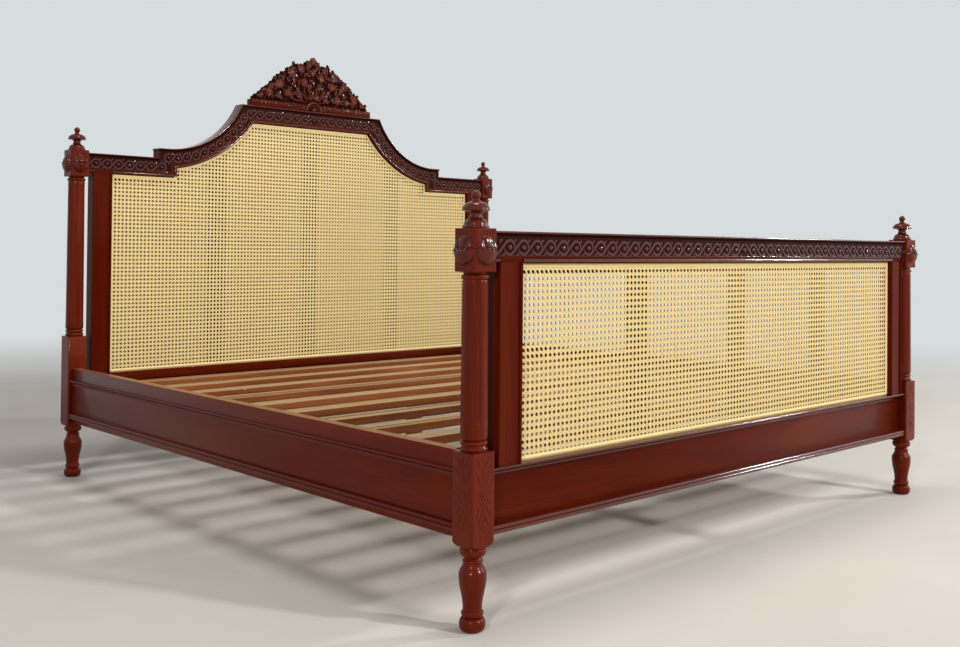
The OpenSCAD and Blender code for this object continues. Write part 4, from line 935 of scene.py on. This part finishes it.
def ring_arc(radius, tube, start, stop, n=22, rise=0.0):
    """Part of a ring on the XY plane, round in section."""
    return stem(arc(0, 0, radius, start, stop, n), tube, rise)


def bent(x0, y0, x1, y1, belly, n=10):
    """Points of a curved stalk between two places, bellied out to its left."""
    dx, dy = x1 - x0, y1 - y0
    shares = [(t, belly * math.sin(math.pi * t)) for t in (i / n for i in range(n + 1))]
    return [(x0 + dx * t - dy * out, y0 + dy * t + dx * out) for t, out in shares]


carving_parts = []


def carve(part, x=0.0, y=0.0, z=0.0, degrees=0.0, face=crest_face):
    """Adds a carved element to the crest: x from its middle, y over its foot, z proud of its face."""
    shape, shade = part
    points, faces = turned_flat(shape, degrees, x, y, z)
    points = np.column_stack([points[:, 0], face - points[:, 2], crest_foot + points[:, 1]])
    carving_parts.append(((points, faces), shade))


draw = np.random.default_rng(7)
crest_edge = np.array([(284, 2), (276, 18), (256, 32), (240, 48), (222, 60), (204, 76), (186, 94), (170, 110),
                       (150, 124), (128, 138), (106, 150), (82, 160), (58, 168), (34, 178), (10, 184)], float)


def near_hole(x, y, reach):
    return any(math.hypot(x - hx, y - hy) < r + reach for hx, hy, r in crest_holes)


def leaf_blocks(x, y, turn, length, width):
    """True where a leaf would close one of the pierced eyes."""
    return any(near_hole(x + length * t * cosd(turn), y + length * t * sind(turn), width * 0.3)
               for t in (0.1, 0.35, 0.6, 0.85))


def crest_reach(y):
    """Half the crest's width at a height over its foot."""
    return float(np.interp(y, crest_edge[:, 1], crest_edge[:, 0]))


# Bed of broad leaves
for height, count in ((10, 23), (27, 21), (45, 19), (63, 17), (81, 15), (99, 13), (117, 11), (135, 8),
                      (152, 5)):
    reach = crest_reach(height) - 20
    for i in range(count):
        x = reach * (2 * i / (count - 1) - 1) + draw.uniform(-5, 5)
        y = height + draw.uniform(-6, 6)
        turn = math.degrees(math.atan2(y + 30, x)) + draw.uniform(-100, 100)
        length, width = draw.uniform(20, 28), draw.uniform(15, 20)
        swing = next((d for d in (0, 40, -40, 80, -80, 125, -125, 180)
                      if not leaf_blocks(x, y, turn + d, length, width)), None)
        if swing is not None:
            carve(leaf(length, width, draw.uniform(3.4, 5.2), curl=draw.uniform(-1.5, 2.5), lobes=2, sink=2.5,
                       bend=draw.uniform(-8, 8), steps=10, belly=1.15),
                  x, y, draw.uniform(0.3, 2.6), turn + swing)

# Curled tips that stand out over the bed
for height, count in ((20, 12), (54, 10), (90, 8), (126, 6), (152, 3)):
    reach = crest_reach(height) - 28
    for i in range(count):
        x = reach * (2 * i / (count - 1) - 1) + draw.uniform(-7, 7)
        y = height + draw.uniform(-8, 8)
        curl_r, start = draw.uniform(6.5, 9), draw.uniform(0, 360)
        if not near_hole(x, y, curl_r * 0.7):
            carve(ring_arc(curl_r, 3.4, start, start + math.copysign(290, x), 14, 3.2), x, y, 4.0)
            carve(dome(curl_r * 0.42, 4.6, 12), x, y, 4.6)

# Rounded lobes and outward tips along the edge
for number, (x, y) in enumerate(crest_edge):
    for side in (-1, 1):
        lobe = draw.uniform(10.5, 13.5)
        carve(dome(lobe, 6.5, 18), side * (x - 12), y - 9, -1.4)
        if number % 3 == 1:
            carve(ring_arc(lobe * 0.62, 3.0, 0, 300, 14, 4.0), side * (x - 12), y - 9, 3.0)
        for lean, reach in ((draw.uniform(2, 24), 1.0), (draw.uniform(52, 78), 0.85))[:1 + number % 2]:
            carve(leaf(20 * reach, 15 * reach, 4.4, curl=draw.uniform(-2, 1.5), lobes=1, sink=6,
                       bend=draw.uniform(3, 8) * side, steps=9, belly=1.2),
                  side * (x - 13), y - 8, -0.8, lean if side > 0 else 180 - lean)
carve(blossom(20, 6, 5.4, tilt=12), 0, 183, 3.4)
carve(dome(15, 5, 20), 0, 183, 0.4)

# Curling stalks from the shell out to the flowers
for x0, y0, x1, y1, belly, radius in (
        (-12, 20, -106, 127, 0.16, 3.6), (12, 20, 109, 127, -0.16, 3.6), (-20, 10, -163, 72, 0.14, 3.4),
        (20, 10, 160, 96, -0.14, 3.4), (-30, 4, -212, 34, 0.09, 3.2), (30, 4, 212, 36, -0.09, 3.2),
        (-163, 72, -190, 60, 0.3, 2.4), (-6, 30, -44, 86, 0.2, 3.0), (8, 30, 38, 118, -0.14, 3.0),
        (-44, 86, -62, 146, -0.22, 2.6), (38, 118, 62, 148, 0.2, 2.6), (-70, 70, -130, 50, 0.3, 2.7),
        (72, 66, 132, 46, -0.3, 2.7), (-212, 34, -262, 10, 0.2, 2.4), (212, 36, 262, 10, -0.2, 2.4)):
    carve(stem(bent(x0, y0, x1, y1, belly), radius, 5.2))
for x, y, radius, start, sweep in (
        (-86, 100, 13, 40, 250), (84, 104, 13, 140, -250), (-140, 96, 12, 60, 240), (138, 72, 12, 120, -240),
        (-188, 62, 11, 70, 230), (188, 58, 11, 110, -230), (-30, 120, 11, 200, -250), (20, 142, 10, -20, 250),
        (-98, 30, 10, 30, 240), (100, 26, 10, 150, -240), (-236, 34, 9, 60, 240), (238, 34, 9, 120, -240)):
    carve(ring_arc(radius, 3.3, start, start + sweep, 16, 5.4), x, y)
    carve(dome(radius * 0.36, 4.2, 14), x, y, 3.0)

# Open flowers, each over a collar of leaves
for x, y, radius, petals, collar in (
        (-106, 127, 22, 6, 4), (109, 127, 22, 6, 4), (-163, 76, 21, 6, 4), (160, 92, 20, 6, 4),
        (-212, 36, 19, 6, 3), (212, 38, 19, 6, 3), (-44, 92, 18, 5, 3), (42, 116, 19, 5, 3),
        (-58, 146, 18, 6, 3), (60, 148, 18, 6, 3), (-122, 40, 17, 5, 3), (126, 30, 17, 5, 3),
        (98, 86, 17, 5, 3), (-252, 18, 13, 5, 2), (254, 17, 13, 5, 2), (-70, 38, 15, 5, 3),
        (64, 28, 14, 5, 2), (0, 138, 17, 6, 3), (-22, 164, 14, 5, 2), (24, 162, 14, 5, 2),
        (-168, 26, 14, 5, 2), (172, 28, 14, 5, 2), (-14, 78, 12, 5, 2), (30, 74, 12, 5, 2)):
    for i in range(collar):
        turn = draw.uniform(0, 360 / collar) + i * 360 / collar
        carve(leaf(radius * 1.35, radius * 0.85, 3.6, curl=1.0, lobes=1, sink=3, bend=draw.uniform(-5, 5)),
              x, y, 1.4, turn)
    carve(blossom(radius, petals, 5.6, tilt=draw.uniform(0, 60)), x, y, 4.2)
    carve(dome(radius * 0.72, 4.6, 18), x, y, 1.0)

# Palmette over the shell
for turn in (20, 43, 66, 90, 114, 137, 160):
    carve(leaf(54 - abs(turn - 90) * 0.16, 15, 5.2, curl=4.5, lobes=0, sink=3.5), 0, 14, 3.2, turn)
for side in (-1, 1):
    carve(ring_arc(12, 3.2, 90 - side * 200, 90 + side * 60, 16, 4.0), side * 24, 12)
    carve(leaf(44, 16, 4.6, curl=2.5, lobes=4, sink=3, bend=side * 12), side * 28, 20, 2.4, 90 - side * 38)
    carve(leaf(40, 15, 4.2, curl=2.0, lobes=4, sink=3, bend=side * -9), side * 40, 10, 2.0, 90 - side * 66)

# Small leaves along the crest's foot, over the upper half of the plinth's front
for i in range(35):
    x = -280 + 560 * i / 34 + draw.uniform(-3, 3)
    if abs(x) > 40:
        lean = math.copysign(draw.uniform(20, 75), x)
        carve(leaf(draw.uniform(17, 22), draw.uniform(8.5, 11), 3.0, curl=draw.uniform(0.3, 1.4), lobes=2,
                   sink=1.4, bend=draw.uniform(-3, 3), steps=8), x, -13, 0.2, 90 - lean, face=plinth_face)

# Half-round shell on the plinth's front, between its foot and the palmette
shell_foot = 1384.5 - crest_foot
for ring in ((36, 5.0, 0, 180, 26, 1.5), (36, 5.0, 180, 0, 26, 1.5), (26.5, 3.0, 0, 180, 20, 1.0)):
    carve(ring_arc(*ring), 0, shell_foot, face=plinth_face)
for turn in (12, 38, 64, 90, 116, 142, 168):
    carve(leaf(24, 8.5, 4.0, curl=1.5, lobes=0, sink=2), 0, shell_foot + 1, 0.4, turn, face=plinth_face)
carve(dome(8, 5.5), 0, shell_foot + 5, 1.0, face=plinth_face)
for side in (-1, 1):
    carve(leaf(30, 12, 3.6, curl=1, lobes=3, sink=2, bend=side * 6), side * 41, shell_foot + 5, 0.3,
          90 - side * 74, face=plinth_face)

crest_mahogany = mahogany("crest_mahogany", "X", (0.045, 0.004, 0.0008), (0.11, 0.0118, 0.0022),
                          (0.23, 0.038, 0.007), coat=0.9, coat_roughness=0.08, under_gloss=0.1)
(crest_points, crest_faces), crest_stain_and_shade = gather_shaded(carving_parts)
crest_points[:, 2] = np.minimum(crest_points[:, 2], crest_top)


def hollow_shade(points, cell=4.0, reach=3, full_depth=4.6):
    """How far each point lies under the highest carving round it, from 0 to 1."""
    half_w, below, tall, shallow = 320, 60, 320, 0.7
    proud = crest_face - points[:, 1]
    column = ((points[:, 0] + half_w) / cell).astype(int)
    row = ((points[:, 2] - crest_foot + below) / cell).astype(int)
    highest = np.full((int(2 * half_w / cell) + 2 * reach, int(tall / cell) + 2 * reach), -50.0)
    np.maximum.at(highest, (column, row), proud)
    around = highest.copy()
    for shift_x in range(-reach, reach + 1):
        for shift_z in range(-reach, reach + 1):
            if shift_x ** 2 + shift_z ** 2 <= reach ** 2:
                around = np.maximum(around, np.roll(highest, (shift_x, shift_z), (0, 1)))
    # The depth under the carving round about darkens the hollows: painted shade
    return np.clip((around[column, row] - proud - shallow) / full_depth, 0, 1) ** 0.75


# The crest's hollows are darkened by their depth: painted shade, with the leaves' own stain
finished("crest_leaves_and_flowers", (crest_points, crest_faces), crest_mahogany,
         ("crest_carving",), sharp=60,
         stain_and_shade=np.clip(np.maximum(crest_stain_and_shade, hollow_shade(crest_points)), 0, 0.93))
ground_outlines = [crest_outline + [(-x, y) for x, y in crest_outline[-2::-1]]]
ground_outlines += [[(x + r * math.cos(a * math.pi / 8), y + r * math.sin(a * math.pi / 8))
                     for a in range(16)] for x, y, r in crest_holes]
for name, depth, thickness, wood in (("crest_ground", 2.0, 10.0, painted_shade_ground),
                                     ("crest_back", 12.0, 2.0, cross_mahogany)):
    plate = flat_plate(name, ground_outlines, thickness)
    plate.transform(Matrix.Translation((0, (crest_face + depth) * 0.001, crest_foot * 0.001)))
    dressed(name, plate, wood, ("crest_carving",), sharp=40)


# Cane panels: open six-way webbing of split cane, with a brown board behind the headboard's muntins.
# Pairs of strands run up and across and single strands run both diagonals, over and under one another.
woven_cane, tree, shader, where = paint("woven_cane")
fibre = noise(tree, where, 420.0, 3.0)
tone = 0.5
for part, weight in ((noise(tree, stretched(tree, where, (2.2, 1.0, 0.35)), 5.0, 5.0), 0.55),
                     (add(tree, "ShaderNodeAttribute", {}, attribute_name="tone").outputs["Fac"], 0.3),
                     (fibre, 0.2)):
    tone = add(tree, "ShaderNodeMath", {0: part, 1: weight, 2: tone}, operation="MULTIPLY_ADD").outputs[0]
feed(tree, shader, {
    "Base Color": ramp(tree, tone, (0.3, (0.58, 0.39, 0.14)), (0.68, (0.85, 0.66, 0.3))),
    "Roughness": spread(tree, fibre, 0.38, 0.62), "Specular IOR Level": 0.35,
    "Normal": bumped(tree, fibre, 0.3, 0.0002)})
cane_pitch, pair_gap = 14.6, 1.5
strand_half, strand_rise = 1.1, 0.55
core_half, core_depth = 3.1, 2.4
wave, diagonal_rise = 0.55, 0.25
foot_web_y, head_web_y = -1051.0, 1034.0


def webbing_group():
    """Strands along the edges of a flat drawing, stood up on the panel's plane."""
    group, start, end = new_group("cane_webbing", {
        "Strand section": "NodeSocketObject", "Plane": "NodeSocketFloat", "Cane": "NodeSocketMaterial"})
    stood_up(group, carried(group, start["Geometry"], start["Strand section"], {}), start["Plane"],
             start["Cane"], end)
    return group


def foot_opening(x, z):
    """True inside the footboard's opening."""
    return (abs(x) < opening_x) & (z > foot_sill) & (z < foot_lintel)


def head_opening(x, z):
    """True inside the headboard's opening."""
    low = (np.abs(x) < opening_x) & (z > head_sill) & (z < head_spring)
    clear = (np.abs(x) - inner_sweep_x) ** 2 + (z - inner_centre) ** 2 > inner_sweep_r ** 2
    crown = (np.abs(x) < crown_x) & (z >= head_spring - 1) & (z < arch_low) & clear
    return low | crown


def well_inside(inside, x, z, margin):
    """True where a place in the opening has a margin all round."""
    return all(inside(x + dx, z + dz) for dx, dz in ((margin, 0), (-margin, 0), (0, margin), (0, -margin)))


def pairs_over(low, high):
    """Numbers of the strand pairs over a span."""
    return range(math.floor(low / cane_pitch), math.ceil(high / cane_pitch) + 1)


def strands(inside, z_range, kind, margin=4.0):
    """Polylines of one direction of the weave, each with its waves, cut where the opening ends."""
    p = cane_pitch
    columns, levels = pairs_over(-opening_x, opening_x), pairs_over(*z_range)
    lines, tracks = [], []
    if kind == "up":
        for c in columns:
            for s in (-1, 1):
                x = c * p + s * pair_gap
                run = [z for z in np.arange(levels[0] * p, (levels[-1] + 1) * p, p / 4)
                       if well_inside(inside, x, z, margin)]
                if len(run) > 3:
                    lines.append([(x, run[0], -diagonal_rise), (x, run[-1], -diagonal_rise)])
    elif kind == "across":
        tracks = [[(i * p / 2, r * p + s * pair_gap,
                    s * wave * math.cos(math.pi * i / 2 + (0.5 + s * 0.5) * math.pi))
                   for i in range(2 * columns[0], 2 * columns[-1] + 1)] for r in levels for s in (-1, 1)]
    else:
        slope = 1 if kind == "rising" else -1
        tracks = [[((k + 0.5) * p + i * p / 2, slope * i * p / 2,
                    wave * slope * math.cos(math.pi * i) + diagonal_rise)
                   for i in range(-4 * len(levels), 4 * len(levels) + 1)]
                  for k in range(columns[0] - len(levels) - 1, columns[-1] + len(levels) + 2)]
    for track in tracks:
        run = []
        for point in [*track, None]:
            if point and well_inside(inside, point[0], point[1], margin):
                run.append(point)
            else:
                if len(run) > 1:
                    lines.append(run)
                run = []
    return lines


def core_lines(inside, z_range, margin=5.0, step=2.0, depth=-0.3):
    """Middles of the strand pairs, one straight line each."""
    p = cane_pitch
    lines = []
    for c in pairs_over(-opening_x, opening_x):
        run = [z for z in np.arange(*z_range, step) if well_inside(inside, c * p, z, margin)]
        if len(run) > 3:
            lines.append([(c * p, run[0], depth), (c * p, run[-1], depth)])
    for r in pairs_over(*z_range):
        run = [x for x in np.arange(-opening_x, opening_x, step) if well_inside(inside, x, r * p, margin)]
        if len(run) > 3:
            lines.append([(run[0], r * p, depth), (run[-1], r * p, depth)])
    return lines


def webbing(name, plane, lines, node, seed, section, cane):
    """One baked piece of webbing from its strands."""
    draw = np.random.default_rng(seed)
    points, edges, tones = [], [], []
    for line in lines:
        first = len(points)
        points += [(x * 0.001, z * 0.001, y * 0.001) for x, z, y in line]
        edges += [(first + i, first + i + 1) for i in range(len(line) - 1)]
        tones += [draw.uniform(0, 1)] * len(line)
    mesh = bpy.data.meshes.new(name)
    mesh.from_pydata(points, edges, [])
    mesh.attributes.new("tone", "FLOAT", "POINT").data.foreach_set("value", tones)
    values = {"Strand section": section, "Plane": plane * 0.001, "Cane": cane}
    return dressed(name, baked(name, mesh, webbing_tree, values), cane, (node,), sharp=62)


strand_section = closed_curves("strand_section", [
    [(-strand_half, -0.2), (strand_half, -0.2), (0, strand_rise)]])
core_section = closed_curves("core_section", [
    [(-core_half, 0), (core_half, 0), (core_half, core_depth), (-core_half, core_depth)]])
# The strand pairs' core is dark brown: painted shade on the walls of the holes
shaded_cane_core, tree, shader, _ = paint("shaded_cane_core")
feed(tree, shader, {"Base Color": (0.3, 0.17, 0.06, 1), "Roughness": 0.7})
webbing_tree = webbing_group()
for word, inside, z_range, plane, node in (
        ("foot", foot_opening, (foot_sill, foot_lintel), foot_web_y, "foot_cane_panel"),
        ("head", head_opening, (head_sill, arch_low), head_web_y, "head_cane_panel")):
    for name, kinds, seed in (("square", ("up", "across"), 11), ("rising", ("rising",), 12),
                              ("falling", ("falling",), 13)):
        lines = [line for kind in kinds for line in strands(inside, z_range, kind)]
        webbing(f"{word}_cane_{name}_weave", plane, lines, node, seed, strand_section, woven_cane)
webbing("foot_cane_core", foot_web_y, core_lines(foot_opening, (foot_sill, foot_lintel)),
        "foot_cane_panel", 14, core_section, shaded_cane_core)
bpy.data.objects.remove(strand_section)
bpy.data.objects.remove(core_section)

board_brown, tree, shader, where = paint("backing_board")
board_grain = noise(tree, stretched(tree, where, (1.2, 30.0, 60.0)), 1.0, 6.0)
feed(tree, shader, {
    "Base Color": ramp(tree, board_grain, (0.3, (0.28, 0.155, 0.058)), (0.7, (0.46, 0.28, 0.115))),
    "Roughness": 0.6, "Normal": bumped(tree, board_grain, 0.2, 0.0004)})


# Round each opening a strip of split cane covers the groove, in a rebate painted near black as shadow. A
# narrow inner frame stands behind the webbing's upper edge, and a thin board closes the headboard's back.
foot_outline = [(-opening_x, foot_sill), (opening_x, foot_sill), (opening_x, foot_lintel),
                (-opening_x, foot_lintel)]
crown = sweep_line(inner_sweep_x, inner_centre, inner_sweep_r, -crown_x, arch_low)
head_outline = ([(-opening_x, head_sill), (opening_x, head_sill), (opening_x, head_spring),
                 (crown_x, head_spring)] + [(-x, z) for x, z in crown] + crown[::-1]
                + [(-crown_x, head_spring), (-opening_x, head_spring)])
rebate_w, frame_half, frame_w, frame_behind = 3.6, 5.8, 26.0, 11.5
edge_profile = [(0, 0), (2.5, 0.6), (3.3, 2), (3.5, 3.2), (3.2, 4.6), (2.2, 6), (1.2, 6.6), (1.1, 8.4),
                (0.6, 9), (0, 9)]
edge_profile = [(a - 1.2, b + (rebate_w - 0.6) * (b > 0)) for a, b in edge_profile]
panels = (("foot", foot_outline, -1052.0, foot_sill), ("head", head_outline, 1033.0, head_sill))
for word, outline, plane, low in panels:
    finished(f"{word}_cane_edge", swept(edge_profile, [(x, plane, z) for x, z in outline], looped=True),
             woven_cane, (f"{word}_cane_spline",), sharp=40)
for word, outline, plane, low in panels:
    opened = [(x, plane, z) for x, z in outline[1:]] + [(-opening_x, plane, low)]
    finished(f"{word}_rebate", swept([(-1.2, 0), (-1.2, rebate_w), (0.8, rebate_w), (0.8, 0)], opened),
             painted_shade_ground)
    upper = [(x, plane + frame_behind, z) for x, z in outline[1:] if z > low]
    finished(f"{word}_inner_frame", swept([(-frame_half, 0), (-frame_half, frame_w), (frame_half, frame_w),
                                           (frame_half, 0)], upper), stile_mahogany)
mesh = flat_plate("rear_plate", [head_outline], 4.0)
mesh.transform(Matrix.Translation((0, 1.0505, 0)))
dressed("head_rear_board", mesh, board_brown, ("head_cane_panel",), sharp=30)


# The side rails are long boards that hook into the posts, with a cove and a double bead planted
# on their outer faces. Their top edges are left bare.
rail_face_x, rail_end_y = 1015.0, 1009.5
long_mahogany = mahogany("mahogany_long_grain", "Y")


def bare_top(wood, name, top):
    """A wood whose upward faces are bare and paler."""
    both = wood.copy()
    both.name = name
    tree = both.node_tree
    shader = tree.nodes["Principled BSDF"]
    lacquered = shader.inputs["Base Color"].links[0].from_socket
    normal = add(tree, "ShaderNodeNewGeometry", {}).outputs["Normal"]
    rise = add(tree, "ShaderNodeSeparateXYZ", {"Vector": normal}).outputs["Z"]
    grain = next(n for n in tree.nodes if n.type == "MIX" and n.data_type == "FLOAT").outputs["Result"]
    bare = mixed(tree, "RGBA", grain, (*[c * 0.7 for c in top], 1), (*[c * 1.25 for c in top], 1))
    upward = spread(tree, rise, 0.0, 1.0, 0.75, 0.95)
    feed(tree, shader, {"Base Color": mixed(tree, "RGBA", upward, lacquered, bare)})
    return both


rail_wood = bare_top(long_mahogany, "side_rail_mahogany", (0.26, 0.09, 0.035))
for side_word, side in sides:
    eased(f"side_rail_{side_word}", 1.5, rail_wood)
    face, end = side * rail_face_x, side * rail_end_y
    finished(f"side_rail_trim_{side_word}", gather([
        swept(profile(10), [(face, -end, z), (face, end, z)], (side, 0, 0))
        for profile, z in ((cove_profile, 344.0), (double_bead_profile, 209.0))]),
        long_mahogany, (f"side_rail_mouldings_{side_word}",))


# Eleven slats of sawn hardwood lie across two ledgers, screwed down at both ends. A beam on two
# legs carries their middles. The slats' planed tops are paler than their sides.
slat_sides = mahogany("slat_hardwood", "X", (0.1, 0.03, 0.009), (0.2, 0.06, 0.018), (0.3, 0.1, 0.032))
slat_wood = bare_top(slat_sides, "slat_wood", (0.42, 0.27, 0.14))
ledger_wood = mahogany("ledger_hardwood", "Y", (0.1, 0.035, 0.012), (0.2, 0.07, 0.024), (0.3, 0.12, 0.045))
for i in range(1, 12):
    eased(f"slat_{i:02d}", 1.5, slat_wood)
for node in ("slat_ledger_left", "slat_ledger_right", "centre_beam", "centre_legs"):
    eased(node, 1.5, ledger_wood)


# Hook plates, slotted plates and screws of zinc-plated steel join the rails to the posts and hold
# the slats. They keep their CAD shapes.
zinc, tree, shader, where = paint("zinc_plated_steel")
spangle = noise(tree, where, 130.0, 3.0)
feed(tree, shader, {
    "Base Color": ramp(tree, spangle, (0.0, (0.42, 0.42, 0.41)), (1.0, (0.68, 0.68, 0.66))),
    "Metallic": 1.0, "Roughness": spread(tree, spangle, 0.28, 0.5)})
for node in ("rail_hook_plates", "post_hook_plates", "hook_plate_screws", "slat_and_ledger_screws"):
    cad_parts[node].data.materials.clear()
    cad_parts[node].data.materials.append(zinc)
